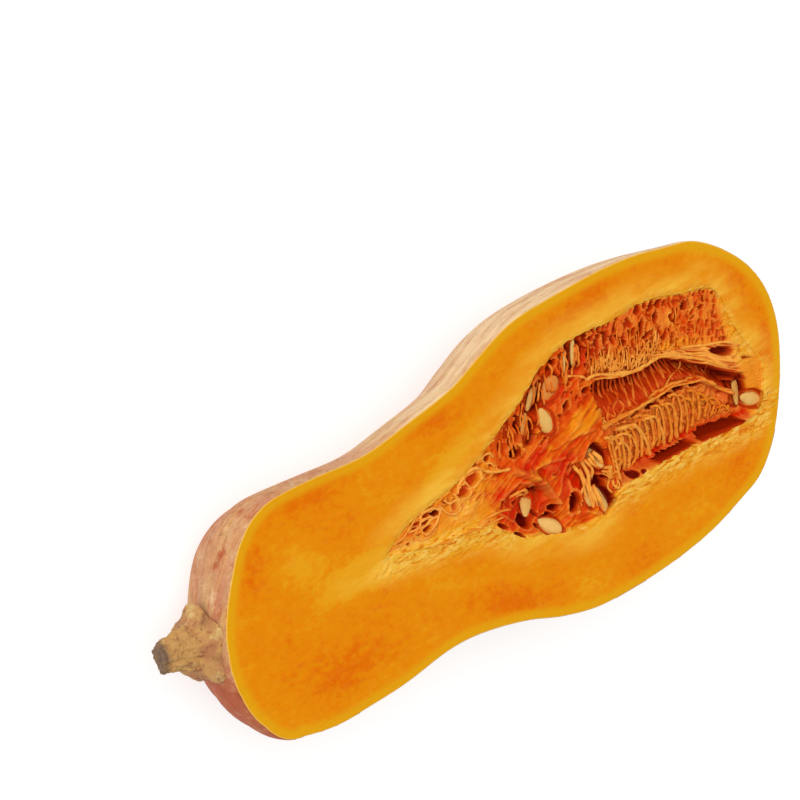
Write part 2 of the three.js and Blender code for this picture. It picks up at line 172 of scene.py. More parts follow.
def endRounding(x):
    toStem = clamp((squash["stemEndX"] + squash["stemCap"] - x) / squash["stemCap"])
    toBlossom = clamp((x - squash["blossomEndX"] + squash["blossomCap"]) / squash["blossomCap"])
    return math.sqrt(1 - toStem**2) * math.sqrt(1 - toBlossom**2)


def rindPoint(x, angle):
    groove = abs(math.sin(squash["lobes"] / 2 * (angle + squash["lobeTurn"])))
    rib = ribHeight(x) * (groove**0.6 - 0.8)
    dent = squash["dents"] * (wave(x * 0.02, 1.7 * math.cos(angle), 1.7 * math.sin(angle)) - 0.5)
    radius = (girth(x) + rib + dent) * endRounding(x)
    down = belly(x) if angle < math.pi else 1
    return Vector((
        x,
        axisY(x) + radius * math.cos(angle),
        axisZ(x) - down * radius * math.sin(angle),
    ))


# the half is tipped until its two flats touch, then moved against its box's blossom end and far side and down
# onto the floor
def findRestPose():
    tilt = Matrix.Rotation(-math.radians(squash["tiltDegrees"]), 4, "Y")
    lowest = min(
        (tilt @ rindPoint(x, math.pi / 2 + turn * 0.1)).z
        for x in range(-150, 100)
        for turn in range(-4, 5)
    )
    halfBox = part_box("squash_half")
    widest = max(rindPoint(x, 0.0).y for x in range(20, 90))
    farX = max((tilt @ rindPoint(squash["blossomEndX"] - i * 0.25, 0.3)).x for i in range(40))
    shift = Vector((
        cadBox[1].x / metres - farX - squash["endGap"],
        halfBox[1].y / metres - widest - squash["sideGap"],
        -lowest - squash["wornFlat"],
    ))
    return Matrix.Scale(metres, 4) @ Matrix.Translation(shift) @ tilt


restPose = findRestPose()
print("rest pose", [round(v, 5) for v in restPose.translation])


class Wire:
    def __init__(self, tree, socket=None):
        self.tree = tree
        self.socket = socket

    # adds one node: its settings come first, then the values or links of its sockets
    def node(self, kind, settings, sockets, output=0):
        made = self.tree.nodes.new(kind)
        for name, value in settings.items():
            setattr(made, name, value)
        for name, value in sockets.items():
            if isinstance(value, Wire):
                self.tree.links.new(value.socket, made.inputs[name])
            else:
                made.inputs[name].default_value = value
        return Wire(self.tree, made.outputs[output])

    def maths(self, operation, first, second):
        return self.node("ShaderNodeMath", {"operation": operation}, {0: first, 1: second})

    def __add__(self, other):
        return self.maths("ADD", self, other)

    def __radd__(self, other):
        return self.maths("ADD", other, self)

    def __sub__(self, other):
        return self.maths("SUBTRACT", self, other)

    def __rsub__(self, other):
        return self.maths("SUBTRACT", other, self)

    def __mul__(self, other):
        return self.maths("MULTIPLY", self, other)

    def __rmul__(self, other):
        return self.maths("MULTIPLY", other, self)

    # nodes that the materials below share
    def colourMix(self, factor, first, second):
        settings = {"data_type": "RGBA", "clamp_factor": True}
        return self.node("ShaderNodeMix", settings, {0: factor, 6: first, 7: second}, 2)

    # coats of colour over a first one, each as strong as its own share
    def coated(self, colour, coats):
        for share, coat in coats:
            colour = self.colourMix(share, colour, coat)
        return colour

    def between(self, low, high):
        sockets = {0: self, 1: low, 2: high, 3: 0.0, 4: 1.0}
        return self.node("ShaderNodeMapRange", {"interpolation_type": "SMOOTHSTEP"}, sockets)

    def stored(self, name, output="Fac"):
        settings = {"attribute_type": "GEOMETRY", "attribute_name": name}
        return self.node("ShaderNodeAttribute", settings, {}, output)

    # noise, drawn out along the axes when it is given three scales
    def cloud(self, scale, detail=3.0, roughness=0.55, distortion=0.0):
        place = self
        if isinstance(scale, tuple):
            place = self.node("ShaderNodeVectorMath", {"operation": "MULTIPLY"}, {0: self, 1: scale})
            scale = 1.0
        sockets = {"Vector": place, "Scale": scale, "Detail": detail}
        sockets |= {"Roughness": roughness, "Distortion": distortion}
        return self.node("ShaderNodeTexNoise", {}, sockets)


# a colour from its screen values, 0 to 255
def paint(red, green, blue):
    def linear(value):
        v = value / 255
        return v / 12.92 if v <= 0.04045 else ((v + 0.055) / 1.055) ** 2.4

    return (linear(red), linear(green), linear(blue), 1.0)


def newMaterial(name):
    material = bpy.data.materials.new(name)
    material.use_nodes = True
    start = Wire(material.node_tree)
    return material, start, start.node("ShaderNodeTexCoord", {}, {}, "Object")


# plugs in what changes over the surface, then sets what is the same all over it
def finishMaterial(material, piece, colour, roughness, height):
    shader = material.node_tree.nodes["Principled BSDF"]
    distance, strength = piece["bump"]
    sockets = {"Height": height, "Distance": distance, "Strength": strength}
    wires = {
        "Base Color": colour,
        "Roughness": roughness,
        "Normal": height.node("ShaderNodeBump", {}, sockets),
    }
    for name, wire in wires.items():
        wire.tree.links.new(wire.socket, shader.inputs[name])
    for name, value in piece["shader"].items():
        shader.inputs[name].default_value = value
    return material


def addObject(name, data):
    made = bpy.data.objects.new(name, data)
    bpy.context.scene.collection.objects.link(made)
    return made


# the quads between rings of points that follow one another
def ringFaces(rings, sides, base=0):
    faces = []
    for i in range(rings):
        for k in range(sides):
            a, b = base + i * sides + k, base + i * sides + (k + 1) % sides
            faces.append((a, a + sides, b + sides, b))
    return faces


# adds one point's numbers to the lists that its material reads
def note(looks, numbers):
    for values, number in zip(looks.values(), numbers):
        values.append(number)


# makes an object from points in the cut frame, with numbers stored at its points for the materials
def makePiece(name, points, faces, material, stored, node):
    mesh = bpy.data.meshes.new(name)
    mesh.from_pydata([restPose @ Vector(p) for p in points], [], faces)
    for key, values in stored.items():
        if isinstance(values[0], (float, int)):
            layer = mesh.attributes.new(key, "FLOAT", "POINT")
            layer.data.foreach_set("value", values)
        else:
            layer = mesh.attributes.new(key, "FLOAT_VECTOR", "POINT")
            layer.data.foreach_set("vector", [number for value in values for number in value])
    mesh.materials.append(material)
    mesh.shade_smooth()
    mesh.update()
    piece = addObject(name, mesh)
    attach(piece, "root")
    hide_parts(node)
    return piece


# ovals are given by their middle, half length and half width, turn in degrees and amount
def turned(entries):
    made = []
    for middle, half, turn, amount in entries:
        angle = math.radians(turn)
        made.append((middle, half, math.cos(angle), math.sin(angle), amount))
    return made


# how far a point is from an oval's middle, 1 on its edge and None well outside
def placeInOval(oval, x, y):
    (middleX, middleY), (long, wide), cosine, sine, _ = oval
    dx, dy = x - middleX, y - middleY
    reach = 1.4 * max(long, wide)
    if abs(dx) > reach or abs(dy) > reach:
        return None
    return math.hypot((dx * cosine + dy * sine) / long, (dy * cosine - dx * sine) / wide)


def sumOfOvals(ovals, x, y, edge=1.0):
    total = 0.0
    for oval in ovals:
        place = placeInOval(oval, x, y)
        if place is not None and place < edge:
            total += oval[4] * bump(place, edge)
    return total


flesh = {
    "stations": 300,
    "around": 200,
    "rindEdge": 0.4,  # rounding of the cut edge
    "ringsInward": [0.0, 0.4, 0.9, 1.6, 2.6, 4.2, 7.0, 11.0],  # mm from the rind
    "sharesInward": [0.35, 0.5, 0.62, 0.7, 0.76, 0.8, 0.84, 0.87, 0.9, 0.925, 0.945, 0.965, 0.98, 0.99, 1.0],
    "wallShares": [0.02, 0.06, 0.12, 0.2, 0.34, 0.5, 0.7, 0.9],  # down the wall of the cavity
    "neckShare": 0.3,  # this much of the outline goes round the neck, before the cavity starts
    "ragged": [(0.2, 1.5, 3), (0.6, 1.1, 8)],  # how its edge strays: pitch, reach and place in the noise
    "undercut": 2.0,
    "drop": 0.45,  # how far the cut sinks at the cavity, and where the pulp runs on into it
    "flushDrop": 0.34,
    "fray": 0.9,  # depth of the torn flakes along the cavity
    "fraySmooth": 5.0,  # how far they reach, where the knife ran clean and where it tore
    "frayTorn": 14.0,
    "sharpAngle": 65,
    # noises: scale or scales, detail, roughness and distortion
    "patches": (26.0, 4.0, 0.6),
    "specks": (260.0, 4.0, 0.65),
    "grain": ((110.0, 320.0, 120.0), 4.0, 0.65, 0.5),
    "streaks": ((22.0, 90.0, 60.0), 5.0, 0.65),
    "flakes": ((150.0, 480.0, 200.0), 4.0, 0.65, 0.8),
    "pores": (420.0, 3.0, 0.6),
    "rindPatches": ((2.2, 3.0, 3.0), 5.0, 0.6),
    "rindStreaks": ((2.5, 12.0, 12.0), 6.0, 0.65, 0.4),
    "rindFlecks": ((13.0, 42.0, 42.0), 6.0, 0.72, 0.6),
    "rindMottle": ((16.0, 26.0, 26.0), 5.0, 0.7),
    "scurf": (75.0, 5.0, 0.7, 0.4),
    "grit": ((300.0, 220.0, 160.0), 5.0, 0.75, 0.3),
    "bump": (0.0006, 0.6),  # height and strength
    "shader": {
        "Subsurface Weight": 0.1,
        "Subsurface Radius": (1.0, 0.3, 0.03),
        "Subsurface Scale": 0.005,
        "Specular IOR Level": 0.14,
        "Specular Tint": (1.0, 0.65, 0.2, 1.0),
    },
    "orange": paint(226, 133, 4),
    "deepOrange": paint(221, 106, 0),
    "yellow": paint(228, 157, 20),
    "paleOrange": paint(238, 178, 56),
    "flakeYellow": paint(244, 196, 92),
    "yellowLine": paint(222, 160, 16),
    # dark red painted shade on the cavity wall, where it shows in the gap beside the pulp
    "wallShade": paint(150, 24, 6),
    # dark orange painted shade for the creases between the torn flakes
    "flakesAndCreaseShade": paint(206, 100, 8),
    "underRind": paint(230, 188, 92),
    "rindTan": paint(204, 156, 108),
    "rindPink": paint(196, 130, 98),
    "rindOrange": paint(188, 98, 44),
    "rindGold": paint(222, 172, 92),
    "rindBrown": paint(134, 84, 50),
    # pale bloom flecks, also used for a painted highlight along the rind's top at the neck
    "rindBloomAndHighlight": paint(232, 200, 154),
    # red-brown blush patches, also used for painted shade low on the rind under the stem
    "rindBlushAndShade": paint(172, 64, 34),
}
# where the flesh is redder, or yellower if the amount is below 0: middle, half length and width, turn, amount
fleshPatches = [
    ((-38, -15), (16, 5), -10, -1.0), ((-147, 20), (26, 14), 85, 0.9), ((-115, -38), (30, 14), 0, 1.0),
    ((-104, 50), (32, 10), -4, 0.7), ((-86, -1), (36, 11), -4, -1.1), ((-126, 22), (24, 12), -38, -0.6),
    ((-150, -20), (14, 22), 0, 0.4), ((-41, 54), (34, 9), -14, 0.6), ((-20, -54), (40, 9), -24, 0.5),
    ((92, -62), (30, 9), 14, -0.4), ((128, -48), (18, 14), 40, 0.35), ((137, 66), (22, 8), -38, -0.4),
    ((164, 2), (4, 7), 0, 1.4), ((64, 64), (42, 9), 4, 0.9), ((-45, -30), (26, 8), -20, -0.5),
    ((-34, 27), (30, 8), 26, -1.2), ((155, -32), (8, 18), 20, 0.4), ((20, -66), (26, 10), 0, -0.3),
    ((-98, 2), (24, 8), 8, -0.8), ((160, -16), (10, 18), 8, 1.4), ((157, 38), (7, 14), 30, 0.5),
]
fleshPatches = turned(fleshPatches)


def fruitMesh():
    shell = bmesh.new()
    rings = []
    along = [
        mix(squash["stemEndX"], squash["blossomEndX"], (1 - math.cos(math.pi * i / flesh["stations"])) / 2)
        for i in range(1, flesh["stations"])
    ]
    for x in along:
        rings.append([
            shell.verts.new(rindPoint(x, 2 * math.pi * j / flesh["around"]))
            for j in range(flesh["around"])
        ])
    stemPole = shell.verts.new(rindPoint(squash["stemEndX"], 0.0))
    blossomPole = shell.verts.new(rindPoint(squash["blossomEndX"], 0.0))
    for ring, following in zip(rings, rings[1:]):
        for j in range(flesh["around"]):
            k = (j + 1) % flesh["around"]
            shell.faces.new((ring[j], following[j], following[k], ring[k]))
    for j in range(flesh["around"]):
        k = (j + 1) % flesh["around"]
        shell.faces.new((stemPole, rings[0][j], rings[0][k]))
        shell.faces.new((blossomPole, rings[-1][k], rings[-1][j]))
    everything = shell.verts[:] + shell.edges[:] + shell.faces[:]
    bmesh.ops.bisect_plane(
        shell, geom=everything, dist=1e-4, plane_co=(0, 0, 0), plane_no=(0, 0, 1), clear_outer=True
    )
    bmesh.ops.recalc_face_normals(shell, faces=shell.faces)
    return shell


# the points of an open edge in order
def orderedLoop(shell):
    following = {}
    for edge in shell.edges:
        if len(edge.link_faces) == 1:
            a, b = edge.verts
            following.setdefault(a, []).append(b)
            following.setdefault(b, []).append(a)
    start = min(following, key=lambda vert: vert.co.x)
    loop = [start]
    previous, current = None, start
    while True:
        nearby = [vert for vert in following[current] if vert is not previous]
        choice = nearby[0] if previous else max(nearby, key=lambda vert: vert.co.y)
        if choice is start:
            return loop
        loop.append(choice)
        previous, current = current, choice


# distance along a run of points, as a share of its whole length
def sharesAlong(points):
    lengths = [0.0]
    for a, b in zip(points, points[1:]):
        lengths.append(lengths[-1] + (b - a).length)
    return [length / lengths[-1] for length in lengths]


def pointAtShare(points, shares, share):
    for i in range(len(points) - 1):
        if share <= shares[i + 1]:
            run = shares[i + 1] - shares[i]
            return points[i].lerp(points[i + 1], clamp((share - shares[i]) / run))
    return points[-1].copy()


# the cavity's edge point that each point of the outline looks at
def cavityLoop(outline):
    xs = [mix(cavityStart, cavityEnd, i / 300) for i in range(301)]
    sides = [[Vector((x, edge(x), 0)) for x in xs] for edge in (farEdge, nearEdge)]
    turn = max(range(len(outline)), key=lambda i: outline[i].x)
    runs = [outline[: turn + 1], [outline[0]] + outline[:turn - 1:-1]]
    neckShare = flesh["neckShare"]
    matched = {}
    for run, side in zip(runs, sides):
        runShares, sideShares = sharesAlong(run), sharesAlong(side)
        for point, share in zip(run, runShares):
            fan = 0.05 * share / neckShare
            spread = mix(0.05, 1.0, (share - neckShare) / (1 - neckShare))
            target = pointAtShare(side, sideShares, fan if share < neckShare else spread)
            ragged = sum(
                reach * wave(target.x * pitch, target.y * pitch, place)
                for pitch, reach, place in flesh["ragged"]
            )
            matched[point.freeze()] = target + Vector((0, ragged, 0))
    return [matched[point] for point in outline]


def bowlDepth(x, across):
    return cavityDepth(x) * math.sqrt(max(0, 1 - abs(2 * across - 1) ** 2.6))


def buildFlesh(material):
    shell = fruitMesh()
    loop = orderedLoop(shell)
    outline = [vert.co.copy() for vert in loop]
    inner = cavityLoop(outline)
    rings = [loop]
    for distance in flesh["ringsInward"][1:]:
        rings.append([
            shell.verts.new(a + (b - a) * min(0.3, distance / (b - a).length))
            for a, b in zip(outline, inner)
        ])
    for share in flesh["sharesInward"]:
        rings.append([shell.verts.new(a.lerp(b, share)) for a, b in zip(outline, inner)])
    firstWall = len(rings)
    for share in flesh["wallShares"]:
        ring = []
        for edge in inner:
            x = clamp(edge.x, cavityStart, cavityEnd)
            middle = (nearEdge(x) + farEdge(x)) / 2
            depth = 3.0 * step(share, 0, 0.12) + bowlDepth(x, 0.5 * share)
            undercut = math.copysign(flesh["undercut"], edge.y - middle) * (1 - step(share, 0.05, 0.3))
            inward = mix(edge.y, middle, share) + undercut
            place = Vector((mix(edge.x, 30, 0.03 * share), inward, -0.6 - depth))
            ring.append(shell.verts.new(place))
        rings.append(ring)
    for outer, following in zip(rings, rings[1:]):
        for j in range(len(outline)):
            k = (j + 1) % len(outline)
            shell.faces.new((outer[j], outer[k], following[k], following[j]))
    shell.faces.new(rings[-1])
    bmesh.ops.recalc_face_normals(shell, faces=shell.faces)

    # the knife left the rim a little rounded, and the flesh frays where it meets the pulp
    for vert in loop:
        vert.co.z -= flesh["rindEdge"]
    outlineTree, cavityTree = kdtree.KDTree(len(outline)), kdtree.KDTree(len(inner))
    for i, (a, b) in enumerate(zip(outline, inner)):
        outlineTree.insert(a, i)
        cavityTree.insert(b, i)
    outlineTree.balance()
    cavityTree.balance()
    cutVerts = {vert for ring in rings[1:firstWall] for vert in ring}
    wallVerts = {vert for ring in rings[firstWall:] for vert in ring}
    points = []
    names = ("fromRind", "fromCavity", "cutFace", "wallShade", "flakesAndCreaseShade", "tone", "rindHighlightAndShade", "skinPlace")
    looks = {name: [] for name in names}
    for vert in shell.verts:
        onCut = vert in cutVerts
        inWall = vert in wallVerts
        place = vert.co.copy()
        toRind = outlineTree.find(vert.co)[2]
        toCavity = cavityTree.find(vert.co)[2]
        solidEnd = step(place.x, 138, 146)  # the pulp runs on into the flesh here
        flakesAndCreaseShade = 0.0
        if onCut:
            flaky = step(place.x, 40, 60) * (1 - step(place.y, -28, -24))
            flaky = max(flaky, (1 - step(place.x, -22, -8)) * (1 - step(place.y, -3, 3)))
            fray = bump(toCavity, mix(flesh["fraySmooth"], flesh["frayTorn"], flaky))
            layer = place.y * 0.3 + 1.7 * wave(place.x * 0.09, place.y * 0.09, 3)
            saw = (layer + 0.5 * wave(place.x * 0.35, 7)) % 1.0
            peel = flaky * step(saw, 0.0, 0.7) * (1 - step(saw, 0.7, 1.0))
            roughness = 0.25 * wave(place.x * 0.6, place.y * 0.6, 5)
            rim = mix(-flesh["drop"], -flesh["flushDrop"], solidEnd)
            sunken = mix(rim, -flesh["fray"] * fray * (peel + roughness), step(toCavity, 0.0, 2.0))
            place.z = min(sunken * min(1, fray * 3), 0.0)
            # how strongly the flakes and the painted shade in their creases show
            flakesAndCreaseShade = fray * (0.25 + 0.75 * flaky)
        radial = Vector((0, place.y - axisY(place.x), place.z - axisZ(place.x))).normalized()
        # painted highlight along the rind's top at the neck, and painted shade low on its side under the
        # stem, stored as one number: the highlight adds and the shade takes away
        highlightAlongTop = step(radial.y, 0.75, 0.98) * step(place.x, -110, -40)
        shadeUnderStem = step(place.x, -150, -166) * step(place.y, 2, -22)
        points.append(place)
        tone = sumOfOvals(fleshPatches, place.x, place.y, 1.3)
        # painted shade on the cavity wall, but not at the end where the pulp runs straight into the flesh
        wallShade = float(inWall) * (1 - solidEnd)
        skinPlace = (place.x * 0.01, radial.y, radial.z)
        note(looks, (toRind, toCavity, float(onCut or inWall), wallShade, flakesAndCreaseShade, tone, highlightAlongTop - shadeUnderStem, skinPlace))
    shell.verts.index_update()
    faces = [[vert.index for vert in face.verts] for face in shell.faces]
    shell.free()
    piece = makePiece("rindAndFlesh", points, faces, material, looks, "squash_half")
    piece.data.set_sharp_from_angle(angle=math.radians(flesh["sharpAngle"]))
    for vertex in piece.data.vertices:  # the worn spots it rests on
        vertex.co.z = max(vertex.co.z, 0.0)
    return piece


def fleshMaterial():
    material, start, place = newMaterial("squashFleshAndRind")
    fromRind, fromCavity = start.stored("fromRind"), start.stored("fromCavity")
    cut = start.stored("cutFace").between(0.2, 0.8)
    tone, flaky = start.stored("tone"), start.stored("flakesAndCreaseShade")

    # the cut: redder and yellower patches, pale streaks that run out from the cavity and down the neck
    patches, specks, grain, streaks, flakes, pores = [
        place.cloud(*flesh[name]) for name in ("patches", "specks", "grain", "streaks", "flakes", "pores")
    ]
    uneven = tone * 1.2 + (patches - 0.5) * 2.4 + (specks - 0.5) * 2.4 + (grain - 0.5) * 1.6
    nearCavity = 1 - fromCavity.between(1.0, 17.0)
    pale = nearCavity * (0.2 + streaks.between(0.35, 0.65) * 0.7 + (grain - 0.5))
    pale += (tone * -1).between(0.3, 1.3) * (streaks.between(0.4, 0.6) * 0.5 + grain * 0.2)
    yellow = 1 - fromRind.between(2.5, 7.0)
    colour = start.coated(flesh["orange"], [
        (uneven.between(0.0, 1.1), flesh["deepOrange"]),
        ((uneven * -1).between(0.0, 1.1) * 0.9, flesh["yellow"]),
        (pale, flesh["paleOrange"]),
        (grain.between(0.5, 0.8) * 0.15, flesh["paleOrange"]),
        (yellow * (0.5 + specks * 0.7), flesh["yellowLine"]),
        (1 - fromRind.between(0.2, 0.9), flesh["underRind"]),
        (flaky * flakes.between(0.5, 0.6), flesh["flakeYellow"]),
        # painted shade in the creases between the flakes
        (flaky * flakes.between(0.47, 0.37), flesh["flakesAndCreaseShade"]),
        # painted shade on the cavity wall
        (start.stored("wallShade").between(0.1, 0.7), flesh["wallShade"]),
    ])

    # the rind: streaks that run along the ribs and draw together at the ends
    paintedLight, skin = start.stored("rindHighlightAndShade"), start.stored("skinPlace", "Vector")
    wide, long, fine, mottle = [
        skin.cloud(*flesh[name]) for name in ("rindPatches", "rindStreaks", "rindFlecks", "rindMottle")
    ]
    scurf, grit = place.cloud(*flesh["scurf"]), place.cloud(*flesh["grit"])
    rind = start.coated(flesh["rindTan"], [
        (wide.between(0.35, 0.65), flesh["rindPink"]),
        (long.between(0.5, 0.74) * 0.7, flesh["rindGold"]),
        (long.between(0.46, 0.26) * mottle.between(0.35, 0.6), flesh["rindOrange"]),
        (mottle.between(0.48, 0.68) * 0.75, flesh["rindOrange"]),
        (scurf.between(0.52, 0.68) * 0.7, flesh["rindBlushAndShade"]),
        (scurf.between(0.44, 0.3) * 0.6, flesh["rindBloomAndHighlight"]),
        (fine.between(0.44, 0.26) * 0.6, flesh["rindBloomAndHighlight"]),
        # painted highlight along the rind's top and painted shade under the stem, with fewer brown flecks in
        # the highlight and more in the shade
        (paintedLight * (0.9 - long.between(0.4, 0.62) * 0.7), flesh["rindBloomAndHighlight"]),
        (paintedLight * (scurf * -0.8 - 0.4), flesh["rindBlushAndShade"]),
        (fine.between(0.54, 0.7) * (0.7 - paintedLight * 0.3), flesh["rindBrown"]),
        (grit.between(0.54, 0.66) * (0.45 - paintedLight * 0.35), flesh["rindBrown"]),
        (grit.between(0.46, 0.34) * 0.2, flesh["rindBloomAndHighlight"]),
    ])
    height = cut * (pores * 0.35 + grain + flaky * flakes * 3) + (1 - cut) * (fine * 0.6 + mottle * 0.5)
    roughness = 0.55 - cut * 0.05 + fine * 0.1
    return finishMaterial(material, flesh, start.colourMix(cut, rind, colour), roughness, height)


# where the seeds lie: middle, heading of the pointed end, roll about the length and pitch, in degrees,
# how stained it is, how far pulp laps over its rim and what share of its blunt end is covered
seedPlaces = [
    ((52.7, 43.5, -3.2), 71, 41, -1, 0.1, 0.3, 0), ((46.6, 42.0, -4.8), 243, -71, 17, 0.35, 0.2, 0.15),
    ((34.0, 33.1, -3.8), 224, 16, -7, 0.95, 1.0, 0), ((25.4, 20.4, -2.8), 95, -6, 1, 0.4, 1.0, 0.05),
    ((23.7, 32.9, -5.6), 222, -32, 4, 0.6, 0.0, 0.1), ((14.2, 22.3, -4.6), 65, 38, 5, 0.85, 0.8, 0.25),
    ((4.3, -14.9, -9.0), 230, -3, 21, 0.45, 0.9, 0.3), ((10.8, -29.6, -5.2), 130, -1, -21, 0.35, 0.7, 0),
    ((37.2, -25.3, -5.2), 80, 27, -10, 0.4, 0.2, 0), ((44.6, -33.0, -6.6), 87, 29, -20, 0.2, 0.1, 0),
    ((47.5, -11.3, -5.8), 286, -29, 28, 0.5, 0.3, 0.1), ((139.6, -19.6, -5.2), 250, -33, 10, 0.55, 0.1, 0.05),
    ((146.6, -26.6, -4.4), 148, -8, 4, 0.3, 0.8, 0),
]

pulp = {
    "level": -1.7,
    "stations": 500,  # spacing of the modelled surface
    "rows": 185,
    "underFlesh": 2.4,  # how far its edge reaches under the flesh
    "wildness": 0.8,  # how far the surface strays from its smooth form
    "slant": 0.3,  # slope of its hidden edge
    "drop": 0.55,  # how deep that edge starts, and where it runs straight on into the flesh
    "flushDrop": 0.3,
    "floorGap": 0.3,  # least height over the cavity's floor
    "neckEnd": (-21, -9),  # where the net ends, the two banks start and the flesh-like end wall starts
    "banksStart": (54, 62),
    "wallStart": (140, 147),
    # thin-walled openings: turn, length, width, how many stay shut and depth
    "coarsePores": (66, 6.4, 2.7, -0.15, 3.8),
    "smallPores": (60, 4.2, 2.3, -0.05, 2.6),
    "fringePores": (66, 4.0, 2.4, -0.4, 4.2),
    "neckPores": (25, 5.0, 2.4, 0.0, 1.6),
    "seedRowPores": (66, 7.5, 2.7, -0.1, 5.0),
    "membranePores": (24, 11.0, 3.4, 0.15, 2.0),
    "nearBankPores": (84, 7.0, 2.5, -0.4, 2.6),
    "orange": paint(214, 76, 5),
    "gold": paint(226, 130, 10),
    "pale": paint(246, 168, 70),
    "red": paint(204, 18, 0),
    # the next two are painted shade, for shallow and for deep recesses
    "shade": paint(186, 48, 4),
    "deepShade": paint(104, 10, 2),
    "patches": (120.0, 4.0, 0.6),
    "fine": (800.0, 3.0, 0.6),
    "bump": (0.0004, 0.6),
    "shader": {
        "Subsurface Weight": 0.08,
        "Subsurface Radius": (1.0, 0.35, 0.04),
        "Subsurface Scale": 0.002,
        "Specular IOR Level": 0.16,
        "Specular Tint": (1.0, 0.62, 0.25, 1.0),
    },
}
# rounded hollows and mounds, amount is height
forms = [
    ((39, 9), (22, 12), 8, 1.4),  # fold of membrane
    ((49, 10), (12, 9), 60, 1.2),
    ((33, -13), (15, 12), -12, -5.0),  # red valley
    ((4, -14), (18, 13), 10, -8.0),  # seed pocket
    ((12, -29), (14, 7), -8, -4.0),
    ((29, 37), (36, 8), 38, -4.0),  # row of seeds along the far edge
    ((3, 23), (15, 8), 34, -3.5),
    ((44, -25), (13, 10), 20, -5.0),  # pit round the string bundle
    ((-27, 3), (16, 7), 30, 0.9),  # pale lens
    ((9, -3), (16, 5), -48, 4.6),  # arch over the pocket
    ((130, -14), (10, 8), 60, -3.5),
    ((140, -21), (11, 8), 60, -2.0),
]
